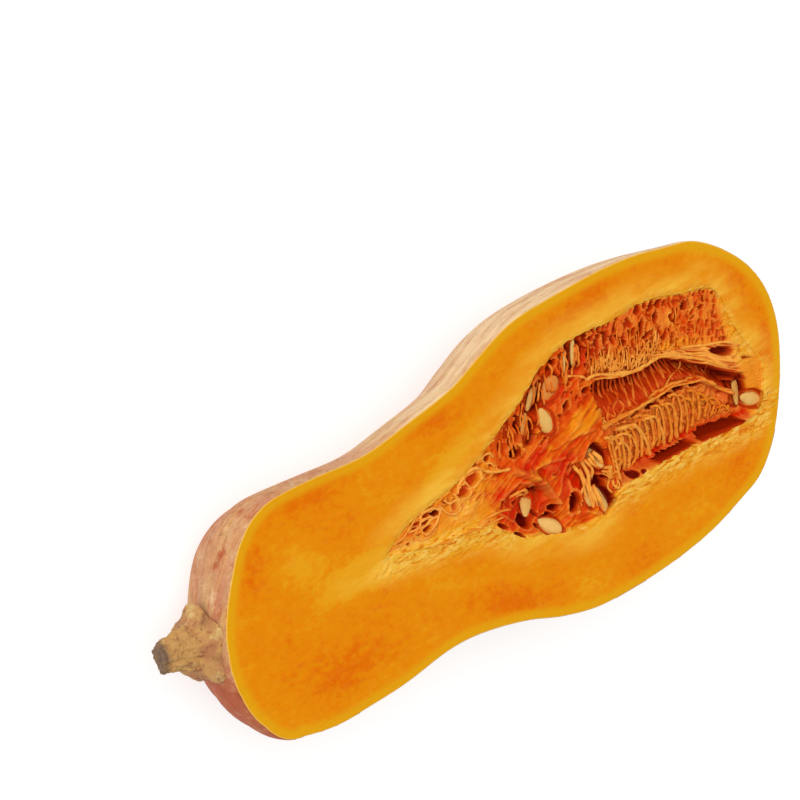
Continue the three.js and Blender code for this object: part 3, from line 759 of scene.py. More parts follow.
# holes and slits, amount is depth
holes = [
    ((71.7, 41.6), (3.9, 1.8), 63, 7), ((70.0, 45.0), (2.0, 1.1), 56, 5), ((87.5, 43.2), (2.7, 1.9), 44, 3),
    ((94.6, 37.7), (5.0, 1.5), 62, 8), ((96.4, 32.4), (3.1, 1.4), 22, 5), ((105.3, 38.5), (2.2, 1.0), 70, 5),
    ((113.1, 33.8), (2.7, 1.6), 101, 7), ((122.7, 36.2), (2.7, 2.3), 164, 5),
    ((111.6, 42.9), (1.9, 1.3), 39, 4), ((132.2, 31.2), (2.0, 1.4), 4, 5), ((125.6, 28.6), (2.0, 0.9), 19, 4),
    ((138.4, 24.7), (2.3, 1.0), 68, 5), ((141.3, 35.0), (1.5, 0.9), 153, 4),
    ((134.1, 38.2), (1.5, 1.0), 171, 4), ((130.3, 38.6), (1.5, 1.0), 36, 4),
    ((82.3, 34.5), (1.9, 1.3), 47, 5), ((84.9, 29.8), (1.6, 0.9), 64, 4), ((88.7, 29.7), (1.3, 0.8), 56, 3),
    ((97.7, 25.6), (1.2, 0.8), 19, 3), ((105.6, 27.0), (2.4, 1.3), 170, 2), ((79.5, 30.2), (1.4, 0.8), 72, 4),
    ((68.2, 27.8), (1.3, 0.8), 153, 4), ((80.7, 24.3), (1.2, 0.7), 56, 3), ((84.5, 24.3), (1.2, 0.7), 56, 3),
    ((88.8, 23.5), (1.1, 0.7), 39, 3), ((75.2, 29.4), (1.2, 0.7), 65, 3), ((71.3, 28.8), (1.1, 0.7), 56, 3),
    ((62.0, 38.8), (2.4, 1.1), 56, 5), ((65.7, 42.6), (2.2, 1.1), 56, 5), ((120.5, 39.6), (1.2, 0.9), 6, 3),
    ((101.0, 43.5), (1.8, 0.8), 42, 4), ((115.7, 29.1), (1.8, 0.8), 6, 2), ((133.8, 22.6), (1.5, 0.8), 41, 3),
    ((120.8, 21.7), (2.1, 0.9), 168, 2), ((104.6, 32.4), (1.9, 0.8), 28, 3),
    ((136.7, 5.0), (8.6, 2.3), 154, 5), ((149.5, -4.9), (4.4, 0.8), 161, 3), ((78.2, -1.6), (4.4, 1.5), 9, 6),
    ((88.3, -2.4), (5.2, 1.8), 170, 8), ((98.4, -1.8), (4.6, 1.7), 171, 8),
    ((107.2, -2.2), (4.6, 1.7), 165, 8), ((116.6, -4.2), (4.6, 1.3), 159, 6),
    ((69.2, -1.2), (2.8, 0.8), 174, 3),
    # net towards the neck
    ((-48.4, 8.2), (3.0, 1.7), 165, 5), ((-53.3, 9.6), (2.9, 1.0), 173, 3),
    ((-55.2, 6.7), (2.8, 1.1), 177, 3), ((-55.2, 3.3), (2.7, 1.4), 2, 3.5),
    ((-59.4, 8.3), (2.0, 0.9), 176, 2.5), ((-62.3, 6.8), (1.8, 1.0), 174, 2.5),
    ((-67.3, 1.8), (1.6, 0.9), 150, 2.5), ((-40.7, 10.3), (2.6, 0.8), 3, 2),
    ((-37.6, 5.7), (2.4, 2.0), 90, 1.6), ((-30.7, 10.5), (3.6, 2.9), 2, 2.8),
    ((-23.8, 13.2), (5.0, 2.7), 13, 2.5), ((-12.7, 18.6), (2.1, 1.7), 161, 4),
    ((-13.0, 23.2), (1.5, 0.9), 2, 3), ((-7.2, 11.8), (1.4, 0.9), 163, 2), ((-7.6, 20.6), (1.2, 0.8), 24, 2),
    ((-14.9, 10.7), (2.6, 1.0), 168, 1.5), ((-47.5, 13.3), (2.4, 0.7), 14, 1.5),
    ((-71.1, 4.3), (2.4, 0.8), 169, 1.5), ((-60.5, 2.9), (1.9, 0.7), 177, 2),
    ((-46.0, -8.8), (7.0, 0.8), 0, 2.2), ((-32.0, -10.4), (7.0, 0.8), -12, 2.2),
    # row of seeds
    ((1.3, 27.9), (1.5, 1.1), 149, 4), ((2.7, 24.0), (3.6, 1.1), 82, 5), ((3.9, 14.3), (3.8, 3.2), 162, 8),
    ((10.8, 25.7), (5.2, 1.4), 87, 8), ((10.6, 30.3), (1.8, 1.0), 152, 5), ((16.1, 28.5), (2.4, 1.2), 71, 4),
    ((20.1, 34.3), (3.0, 1.2), 50, 7), ((15.2, 32.6), (1.7, 0.9), 56, 4), ((28.5, 37.8), (3.6, 2.8), 172, 10),
    ((24.9, 36.6), (2.5, 1.4), 27, 6), ((40.6, 43.7), (2.4, 1.3), 41, 6), ((44.7, 45.0), (1.5, 0.9), 56, 6),
    ((49.2, 37.7), (2.4, 1.7), 150, 5), ((57.0, 34.7), (1.6, 1.3), 97, 5), ((43.9, 31.4), (1.8, 1.4), 99, 5),
    ((44.4, 25.8), (1.2, 1.0), 128, 3), ((52.6, 23.3), (3.0, 2.0), 160, 4), ((38.7, 21.6), (3.2, 2.4), 47, 7),
    ((46.3, 22.4), (1.9, 0.9), 56, 3), ((25.7, 15.7), (2.8, 1.2), 10, 4), ((20.9, 12.1), (3.0, 1.1), 31, 4),
    ((34.2, 18.3), (2.3, 1.1), 133, 3), ((58.2, 45.6), (1.6, 1.1), 33, 4), ((64.9, 45.5), (2.3, 1.1), 42, 4),
    ((58.0, 42.2), (2.4, 1.0), 56, 5), ((65.0, 37.4), (2.0, 0.9), 49, 4), ((56.8, 29.6), (1.9, 0.8), 30, 3),
    ((39.3, 27.5), (1.9, 1.0), 56, 4), ((19.8, 20.5), (1.9, 0.9), 56, 4), ((10.7, 18.4), (2.0, 0.8), 82, 4),
    ((6.3, 27.1), (2.4, 0.7), 75, 3),
    # pockets of the loose seeds
    ((-2.4, -20.4), (4.6, 3.5), 142, 7), ((15.1, -21.6), (2.9, 2.0), 162, 7),
    ((11.5, -24.0), (2.3, 1.5), 147, 6), ((26.9, -24.7), (5.4, 3.6), 58, 8),
    ((45.8, -23.3), (4.8, 3.2), 116, 8), ((43.8, -17.2), (3.0, 2.0), 102, 6),
    ((48.8, -35.4), (3.2, 2.2), 147, 5), ((-3.9, -9.2), (2.4, 1.9), 12, 5), ((8.3, -8.6), (3.2, 1.5), 117, 5),
    ((31.2, -7.9), (2.4, 1.0), 43, 4), ((-12.3, -5.9), (2.4, 1.6), 59, 4),
    ((-15.5, -16.2), (3.8, 1.3), 129, 4), ((-8.6, -24.2), (3.8, 1.3), 137, 4),
    ((5.6, -20.4), (2.4, 1.4), 112, 4), ((3.2, -25.6), (3.0, 1.2), 130, 4),
    ((50.4, -6.6), (2.2, 0.9), 132, 3), ((50.0, -21.8), (2.0, 1.8), 112, 6),
    ((21.7, -6.5), (2.6, 0.9), 177, 2), ((65.0, -28.8), (3.4, 1.7), 5, 8), ((70.2, -29.6), (2.4, 1.0), 0, 5),
    ((131.5, -15.4), (2.0, 1.0), 60, 3), ((134.0, -24.6), (2.6, 1.0), 70, 4),
    ((129.0, -22.6), (3.2, 0.9), 70, 3), ((121.6, -21.5), (3.4, 1.1), 74, 4),
]
# raised folds and ridges: the points they run through, half width and height
folds = [
    ([(0.2, 5.7), (6, 0.7), (10.2, -3.6), (13.3, -8.4), (16, -14), (18, -20)], 2.8, 3.0),
    ([(-12, -3), (-6, -1.2), (0, 0), (5.6, -3.8), (7.8, -8.2)], 1.6, 1.4),
    ([(33.2, 7.4), (39, 9.5), (43.8, 11.4)], 1.6, 1.0),
    ([(24.4, 5.1), (31.9, 6.4), (40.5, 5.5), (50.8, 3.7)], 1.6, 1.2),
    ([(6, 2.4), (19.8, 0.8), (28.9, -1.3)], 1.4, 1.2),
    ([(4.2, 6.1), (9.4, 9.3), (15.1, 11.4), (18.6, 13)], 1.2, 1.2),
    ([(11, 3.5), (15.6, 7.8), (22.2, 9.6), (28.8, 11.3)], 1.3, 1.2),
    ([(18.8, -17.1), (23.5, -12.7), (28.7, -7), (30.9, -3.9)], 1.6, 1.6),
    ([(38, -8), (41, -4), (45, -1)], 1.4, 1.4),
    ([(16.5, 7.4), (22.7, 10.9), (27.9, 14.2), (31.8, 16.4)], 1.2, 1.0),
    ([(28, -19), (31, -11), (36, -5)], 1.3, 1.4), ([(57.4, 8.9), (55, 3), (52.8, -0.5)], 1.3, 1.0),
    ([(33, 26), (31, 21), (29.5, 15)], 1.1, 1.2), ([(37, 31), (36, 25), (34.6, 19)], 1.0, 1.2),
    ([(50, 32), (48.5, 27), (48.6, 19)], 1.0, 1.2), ([(20, 27.5), (21, 20), (20, 13)], 1.1, 1.2),
    ([(8, 24), (8.6, 17), (9.6, 9)], 1.2, 1.4), ([(0.5, 21), (2, 13), (0, 7)], 1.2, 1.2),
    ([(-19, -6), (-14, -11), (-9, -17)], 1.4, 1.4), ([(-5, -28), (4, -30.5), (12, -35), (24, -34)], 1.6, 1.6),
    ([(31, -31), (37, -36), (45, -37)], 1.6, 1.6),
    ([(-34.3, 11.7), (-31, 15), (-25.5, 17.8), (-19, 17.4), (-13.2, 12.4), (-6, 9.4)], 1.0, 1.4),
    ([(-34.1, 7.5), (-29, 7), (-24.6, 9), (-20.5, 11.6), (-16, 12)], 0.9, 1.1),
    ([(-17.6, 20.4), (-14.4, 16.3), (-11.1, 12.6), (-6.2, 10.2)], 0.8, 1.0),
    ([(-51.8, -7.6), (-45.3, -7.4), (-39.5, -7.4), (-33.5, -9), (-27, -10.2), (-19, -11)], 1.2, 0.9),
]
# patches of colour
goldPatches = [
    ((49, 11), (13, 7), 5, 1.1), ((32, 7), (16, 6), 15, 0.55), ((-27, 3), (10, 7), 30, 0.5),
    ((112, 17), (24, 7), -18, 1.3), ((136, -2), (16, 6), -28, 0.9), ((151, 8), (9, 26), 0, 1.0),
    ((-45, -3), (26, 6), 0, 0.8), ((108, -12), (26, 7), -8, 0.5), ((78, 29), (18, 8), 25, 0.5),
    ((30, -35), (16, 4), 0, 0.3), ((7, -1), (12, 3), -48, 0.7),
]
redPatches = [
    ((12, 6), (14, 6), 20, 0.9), ((25, -3), (16, 5), 0, 1.2), ((29, -14), (10, 10), 0, 1.4),
    ((-12, -9), (11, 13), 0, 0.7), ((3, -14), (14, 14), 0, 1.0), ((15, 24), (12, 9), 40, 0.7),
    ((60, 40), (13, 10), 60, 0.7), ((72, 42), (11, 9), 60, 0.6), ((86, 41), (15, 9), 60, 0.4),
    ((100, 38), (14, 10), 60, 0.15), ((130, -9), (11, 9), 0, 0.9), ((133, -20), (6, 11), 0, 0.8),
    ((90, -27), (20, 4), 0, 0.7), ((44, -20), (9, 9), 0, 0.9), ((36, 28), (16, 9), 40, 0.6),
    ((48, 36), (9, 8), 0, 0.8), ((-27, 12), (9, 5), 20, 0.7), ((50, -35), (5, 4), 0, 0.8),
    ((-57, 7), (17, 5), 8, 0.9), ((-22, 17), (9, 4), 30, 0.6), ((-17, 3), (9, 10), 0, 0.6),
    ((-40, 11), (10, 3), 0, 0.5),
]
forms, holes = turned(forms), turned(holes)
goldPatches, redPatches = turned(goldPatches), turned(redPatches)


def distanceToLine(x, y, points):
    nearest = 99.0
    for (ax, ay), (bx, by) in zip(points, points[1:]):
        runX, runY = bx - ax, by - ay
        t = clamp(((x - ax) * runX + (y - ay) * runY) / (runX * runX + runY * runY))
        nearest = min(nearest, math.hypot(x - ax - runX * t, y - ay - runY * t))
    return nearest


def foldHeight(x, y):
    highest = 0.0
    for points, halfWidth, height in folds:
        if min(p[0] for p in points) - 4 < x < max(p[0] for p in points) + 4:
            highest = max(highest, height * bump(distanceToLine(x, y, points), halfWidth))
    return highest


# the open chamber under the septum, the near bank below its crest and the gap along the near flesh
bank = {
    "start": (55, 61),  # where it fades in and out along the fruit
    "end": (139, 147),
    "chamber": 14.0,  # depths of the chamber and the gap
    "edgeGap": 7.0,
    "gapStart": (77, 84),
    "gapEnd": (133, 141),
    "gapWidth": (1.2, 2.3),  # half of it, before and after the place where it widens
    "gapWidens": (108, 118),
    "gapBridge": (106.5, 4.0),  # middle and half length
    "stepDown": 1.6,  # drop just below the crest, and the rest of the way down to the edge
    "fall": 6.0,
}


# 0 at the septum's edge and 1 on the crest
def chamberPlace(x, y):
    return (septumEdge(x) - y) / max(4.0, septumEdge(x) - bankCrest(x))


def onBank(x):
    return step(x, *bank["start"]) * (1 - step(x, *bank["end"]))


def chamberShare(x, y):
    place = chamberPlace(x, y)
    return step(place, 0.0, 0.1) * (1 - 0.72 * step(place, 0.15, 0.85)) * (1 - step(place, 0.86, 1.0))


def gapShare(x, y):
    narrow, wide = bank["gapWidth"]
    halfWidth = mix(narrow, wide, step(x, *bank["gapWidens"])) * (1 - step(x, *bank["gapEnd"]))
    halfWidth += 0.5 * wave(x * 0.3, 2)
    middle, halfLength = bank["gapBridge"]
    bridge = bump(x - middle, halfLength)
    reach = y - nearEdge(x) - halfWidth
    inside = 1 - step(abs(reach), halfWidth * 0.6, halfWidth * 1.15 + 0.3)
    return inside * step(x, *bank["gapStart"]) * (1 - bridge)


def pulpHeight(x, y):
    below = bankCrest(x) - y
    slope = step(below, -0.5, 3) * (bank["stepDown"] + bank["fall"] * clamp(below / 28))
    sunken = bank["chamber"] * chamberShare(x, y) + bank["edgeGap"] * gapShare(x, y) + slope
    return pulp["level"] + sumOfOvals(forms, x, y) - onBank(x) * sunken


# depth of the openings between thin walls that run along a direction
def openings(kind, x, y):
    turn, long, wide, shut, depth = pulp[kind]
    angle = math.radians(turn)
    cosine, sine = math.cos(angle), math.sin(angle)
    along = (x * cosine + y * sine) / long + 0.35 * wave(x * 0.2, y * 0.2, 3)
    across = (y * cosine - x * sine) / wide + 0.6 * wave(x * 0.2, y * 0.2, 9)
    distances, cells = noise.voronoi(Vector((along, across, 0.5)))
    share = step(distances[1] - distances[0], 0.06, 0.32)
    return depth * share * step(wave(cells[0].x * 2.3, cells[0].y * 2.3, 2), shut - 0.2, shut + 0.12)


# seeds keep the surface off their faces, with a dark line round them: a groove and a painted shadow
def seedRoom(x, y, z):
    shadow = 0.0
    for (atX, atY, atZ), heading, roll, pitch, _, lap, covered in seedPlaces:
        dx, dy = x - atX, y - atY
        if abs(dx) > 9 or abs(dy) > 9:
            continue
        h = math.radians(heading)
        u, v = dx * math.cos(h) + dy * math.sin(h), dy * math.cos(h) - dx * math.sin(h)
        lean = math.radians(roll)
        long = seeds["length"] / 2 * math.cos(math.radians(pitch))
        wide = seeds["width"] / 2 * abs(math.cos(lean)) + 1.4 * abs(math.sin(lean))
        inside = math.hypot(u / long, v / wide)
        if inside < 1.5:
            rise = math.tan(math.radians(clamp(roll, -55, 55)))
            level = atZ + u * math.tan(math.radians(pitch)) + v * rise
            z = min(z, mix(level + lap, z, step(inside, 1.0, 1.45)))
            z -= 0.7 * bump(inside - 1.14, 0.2)
            # painted shadow in a ring round the seed
            shadow = max(shadow, 0.6 * bump(inside - 1.1, 0.3))
            under = covered > 0 and u / long < 2 * covered - 1
            if under:
                z = level + 2.0
            elif inside < 0.8:
                z = min(z, level - 2)
    return z, shadow


# height of the modelled surface, with its painted shade and how pale, gold and red it looks there
def pulpSurface(x, y, across):
    neck = 1 - step(x - 0.25 * y, *pulp["neckEnd"])
    right = step(x, *pulp["banksStart"])
    wall = step(x, *pulp["wallStart"])
    centre = (1 - neck) * (1 - right)
    toFar, toNear = farEdge(x) - y, y - nearEdge(x)
    overSeptum = y - septumEdge(x)
    banks = right * (1 - wall)
    farBank = banks * step(overSeptum, 0.5, 2)
    fringe = farBank * bump(overSeptum - 5, 9.5) * (1 - step(x, 94, 106))
    band = banks * step(x, 88, 100) * step(overSeptum, -0.6, 0.4)
    band *= 1 - step(y, bandTop(x) - 1.5, bandTop(x) + 0.8)
    nearBank = banks * (1 - step(y, bankCrest(x) - 2, bankCrest(x)))
    inChamber = banks * (1 - step(overSeptum, -0.8, 0.4)) * step(y, bankCrest(x) - 0.5, bankCrest(x) + 1.5)
    seedRow = (1 - neck) * (1 - step(x, 54, 66)) * (1 - step(toFar, 11, 17))
    hump = bump(math.hypot((x - 43) / 21, (y - 7) / 9), 1.25) * centre
    membrane = centre * (1 - seedRow)

    height = pulpHeight(x, y)
    holeDepth, rim = 0.0, 0.0
    strayX, strayY = x + 0.6 * wave(x * 0.3, y * 0.3, 21), y + 0.6 * wave(x * 0.3, y * 0.3, 33)
    for oval in holes:
        place = placeInOval(oval, strayX, strayY)
        if place is not None and place < 1.4:
            holeDepth = max(holeDepth, oval[4] * (1 - step(place, 0.5, 1.06)))
            rim = max(rim, bump(place - 1.16, 0.24))
    pores = 0.0
    if farBank > 0.01 and band < 0.9:
        pores = mix(openings("coarsePores", x, y), openings("smallPores", x, y), step(x, 108, 126))
        pores *= farBank * (1 - band) * (1 - 0.8 * fringe)
        pores = max(pores, fringe * openings("fringePores", x, y))
    for kind, share, part in (
        ("neckPores", neck, step(y, -4, 4)), ("seedRowPores", seedRow, 1),
        ("membranePores", membrane, 1 - hump), ("nearBankPores", nearBank, 1),
    ):
        if share > 0.01:
            pores = max(pores, share * part * openings(kind, x, y))
    ridge = (1 - abs(wave((x * 0.93 + y * 0.37) / 20, (y * 0.93 - x * 0.37) / 3.0, 6))) ** 5
    grainOfBand = (1 - abs(wave(x / 14, (y - septumEdge(x)) / 1.5, 12))) ** 3
    stripe = (1 - abs(wave(x / 1.9, y / 14, 26))) ** 5  # ribs of the chamber's slope
    rough = 0.4 * wave(x * 0.5, y * 0.5, 1) + 0.25 * wave(x * 1.3, y * 1.3, 4)
    calm = max(band, 0.6 * neck, wall, 0.7 * membrane)
    z = height + foldHeight(x, y) + (0.45 + 0.4 * neck) * rim + pulp["wildness"] * rough * (1 - 0.75 * calm)
    z += membrane * (0.8 * ridge - 0.4) + 1.1 * inChamber * stripe + band * (1.1 * grainOfBand - 0.3)
    toEdge = min(toFar, toNear)
    z += 0.6 * wall * (1 - abs(wave((y - 8) / 1.6, x / 9, 8))) ** 4
    z -= max(holeDepth, pores) * step(toEdge, 0.2, 1.6)
    gap = banks * gapShare(x, y)
    flush = wall * step(y, -30, -22)  # here it runs straight on into the flesh
    edgeLevel = pulp["slant"] * clamp(toEdge, -pulp["underFlesh"], 0) * (1 - flush)
    edgeLevel -= mix(pulp["drop"], pulp["flushDrop"], flush)
    z = mix(edgeLevel, z, step(toEdge, 0.0, 1.4 + 3.4 * nearBank * (1 - gap)))
    z, shadow = seedRoom(x, y, z)
    z = max(z, -pulp["floorGap"] - bowlDepth(x, across))

    # painted shade: darker the deeper the surface lies below its level, in holes, in the painted shadow round
    # the seeds, between the band's grains, in the chamber and in the gap
    deep = clamp((height - 0.6 - z) / 4.2) * (1 - 0.65 * nearBank)
    paintedShade = max(deep, holeDepth / 5.5, shadow, 0.5 * band * (1 - grainOfBand)) * (1 - 0.2 * fringe)
    paintedShade += inChamber * (0.85 - 0.4 * step(chamberPlace(x, y), 0.1, 1.0) - 0.3 * stripe)
    paintedShade += 0.7 * gap
    lens = bump(math.hypot((x + 33.5) / 13, (y - 2.6 - 0.1 * (x + 33.5)) / 4.8), 1.3)
    gold = sumOfOvals(goldPatches, x, y, 1.2) + 0.95 * neck + 0.5 * ridge * membrane + 0.9 * wall
    red = sumOfOvals(redPatches, x, y, 1.2) + 0.7 * inChamber + 0.4 * (1 - ridge) * membrane
    red += 0.2 * farBank * (1 - fringe) + 0.8 * nearBank * (1 - step(toNear, 4, 9))
    pale = 0.12 * neck + 0.55 * fringe + band * (0.2 + 0.5 * grainOfBand) + 0.15 * wall
    pale += 0.3 * nearBank * step(toNear, 4, 9)
    pale += (0.3 + 0.35 * neck) * rim + 0.25 * clamp(z - height)
    # painted highlight: the walls between the far bank's pores are paler and golder on top
    between = farBank * (1 - clamp(pores / 1.2))
    pale += 0.22 * between + 0.8 * lens
    gold += 0.4 * between
    edgeBlend = (1 - step(toEdge, 0.2, 2.4)) * (1 - gap) * (1 - 0.7 * nearBank)
    belowNet = neck * (1 - step(toNear, 1.0, 8.0 + 2 * wave(x * 0.2, y * 0.2, 4)))
    towardsEnd = wall * step(y, -12, 0)
    fuzz = 0.7 + 0.9 * wave(x * 0.5, y * 0.5, 41) + 0.7 * wave(x * 1.4, y * 1.4, 43)
    fleshy = max(edgeBlend, 0.9 * belowNet, 0.8 * towardsEnd, 0.8 * lens * fuzz) * (1 - clamp(1.4 * paintedShade))
    blotch = 0.5 * wave(x * 0.13, y * 0.16, 7) + 0.35 * wave(x * 0.4, y * 0.4, 19)
    gold = clamp(gold + 0.6 * blotch + edgeBlend)
    red = clamp(red + 0.45 * wave(x * 0.16, y * 0.2, 17) - 0.7 * edgeBlend)
    pale = clamp(pale + 0.3 * blotch + 0.35 * edgeBlend) * (1 - gap)
    gold *= 1 - gap
    return z, (clamp(paintedShade), pale, gold, red, clamp(fleshy + 0.3 * blotch * fleshy))


def buildPulp(material):
    points = []
    looks = {"paintedShade": [], "pale": [], "gold": [], "red": [], "fleshy": []}
    for i in range(pulp["stations"] + 1):
        x = mix(cavityStart, cavityEnd + pulp["underFlesh"], i / pulp["stations"])
        low = nearEdge(x) - pulp["underFlesh"] - 7 * bump(x - 154, 5)
        high = farEdge(x) + pulp["underFlesh"] + 9 * bump(x - 146, 6)
        for j in range(pulp["rows"] + 1):
            across = j / pulp["rows"]
            y = mix(low, high, across)
            z, look = pulpSurface(x, y, across)
            points.append((x, y, z))
            note(looks, look)
    width = pulp["rows"] + 1
    faces = [
        (i * width + j, (i + 1) * width + j, (i + 1) * width + j + 1, i * width + j + 1)
        for i in range(pulp["stations"])
        for j in range(pulp["rows"])
    ]
    return makePiece("pulpBody", points, faces, material, looks, "pulp")


def pulpMaterial():
    material, start, place = newMaterial("squashPulp")
    paintedShade, pale, gold, red = [start.stored(name) for name in ("paintedShade", "pale", "gold", "red")]
    patches, fine = place.cloud(*pulp["patches"]), place.cloud(*pulp["fine"])
    flakes, streaks = place.cloud(*flesh["flakes"]), place.cloud(*flesh["streaks"])
    mottle = patches - 0.5
    border = start.coated(flesh["yellow"], [
        (streaks.between(0.35, 0.7), flesh["paleOrange"]),
        (flakes.between(0.5, 0.6) * 0.8, flesh["flakeYellow"]),
        # painted shade in the creases between the flakes
        (flakes.between(0.47, 0.37) * 0.8, flesh["flakesAndCreaseShade"]),
    ])
    colour = start.coated(pulp["orange"], [
        ((gold + mottle).between(0.1, 0.95), pulp["gold"]),
        ((red + mottle * 0.8).between(0.15, 1.0) * 0.9, pulp["red"]),
        (pale * (0.7 + patches * 0.5), pulp["pale"]),
        (start.stored("fleshy"), border),
        # painted shade: the shade colour in shallow recesses, the deep shade colour in deep ones
        (paintedShade.between(0.03, 0.4) * 0.9, pulp["shade"]),
        (paintedShade.between(0.35, 0.95), pulp["deepShade"]),
    ])
    return finishMaterial(material, pulp, colour, 0.3 + fine * 0.25, fine * 0.5 + patches)


fibre = {
    "sides": 6,
    "flat": 0.85,  # height of a fibre over its width
    "seed": 11,
    "slant": (-0.563, 0.394),  # how far a marked place shifts for each mm that it lies higher
    "combPitch": 3.9,  # distance between the hooked strings
    "acrossComb": 20,  # how many there are of each loose kind
    "onSeptum": 30,
    "lace": 76,
    "farWalls": 44,
    "seedRow": 34,
    "tangle": 60,
    "tornEdge": 22,
}


class Bundle:
    def __init__(self):
        self.points = []
        self.faces = []
        self.looks = {"paintedShade": [], "pale": [], "gold": [], "red": []}

    # one fibre along a line of points, thicker at its roots and beaded in between, with painted shade on its
    # underside and towards its ends
    def add(self, line, radius, pale, gold, red, paintedShade=0.0):
        sides = fibre["sides"]
        base = len(self.points)
        last = len(line) - 1
        for i, point in enumerate(line):
            ahead = (line[min(i + 1, last)] - line[max(i - 1, 0)]).normalized()
            side = Vector((-ahead.y, ahead.x, 0))
            side = side.normalized() if side.length > 1e-3 else Vector((1, 0, 0))
            up = ahead.cross(side)
            if up.z < 0:
                up = -up
            ends = abs(2 * i / last - 1) ** 5
            bead = wave(point.x * 0.5, point.y * 0.5, point.z * 0.5)
            size = radius * (1 + 0.4 * ends + 0.5 * bead)
            for k in range(sides):
                angle = 2 * math.pi * k / sides
                under = step(-math.sin(angle), 0.1, 0.9)
                outward = side * size * math.cos(angle)
                self.points.append(point + outward + up * size * fibre["flat"] * math.sin(angle))
                # painted shade on the fibre's underside and towards its ends, where it goes into the pulp
                look = (paintedShade + 0.3 * ends + 0.35 * under, pale + 0.3 * bead - 0.3 * under, gold, red)
                note(self.looks, [clamp(value) for value in look])
        self.faces += ringFaces(last, sides, base)
        self.faces.append([base + k for k in range(sides)])
        self.faces.append([base + last * sides + k for k in range(sides)][::-1])


# a fibre between two places that lies on the pulp, or hangs between them when its slack is given
def fibreLine(start, end, bow, lift, slack=None, wander=0.4):
    a, b = Vector((start[0], start[1], 0)), Vector((end[0], end[1], 0))
    run = b - a
    side = Vector((-run.y, run.x, 0)).normalized()
    steps = max(5, int(run.length / 1.5))
    line = []
    for i in range(steps + 1):
        t = i / steps
        spot = a + run * t + side * (bow * math.sin(math.pi * t))
        spot += side * wander * wave(spot.x * 0.35, spot.y * 0.35, 5)
        if slack is None:
            spot.z = pulpHeight(spot.x, spot.y) + lift
        else:
            spot.z = mix(pulpHeight(*start), pulpHeight(*end), t) - slack * math.sin(math.pi * t) + lift
        if i in (0, steps):
            spot.z -= 0.9
        line.append(spot)
    return line


# a smooth line through given places; a place without a height follows the pulp
def strandLine(places, lift=0.5, perSpan=5):
    knots = []
    for place in places:
        z = place[2] if len(place) > 2 else pulpHeight(place[0], place[1]) + lift
        knots.append(Vector((place[0], place[1], z)))
    knots[0].z -= 0.8
    knots[-1].z -= 0.8
    line = []
    for i in range(len(knots) - 1):
        before, a, b = knots[max(i - 1, 0)], knots[i], knots[i + 1]
        after = knots[min(i + 2, len(knots) - 1)]
        for s in range(perSpan):
            t = s / perSpan
            turn = (2 * before - 5 * a + 4 * b - after) * t**2 + (3 * a - before - 3 * b + after) * t**3
            line.append(0.5 * (2 * a + (b - before) * t + turn))
    line.append(knots[-1])
    return line


# moves places marked on the level given along a slant until they lie on the pulp
def onPulp(places, level, lift):
    slantX, slantY = fibre["slant"]
    made = []
    for x, y in places:
        z = level
        for _ in range(6):
            shift = z - level
            z = mix(z, pulpHeight(x + slantX * shift, y + slantY * shift) + lift, 0.7)
        shift = z - level
        made.append((x + slantX * shift, y + slantY * shift, z))
    return made


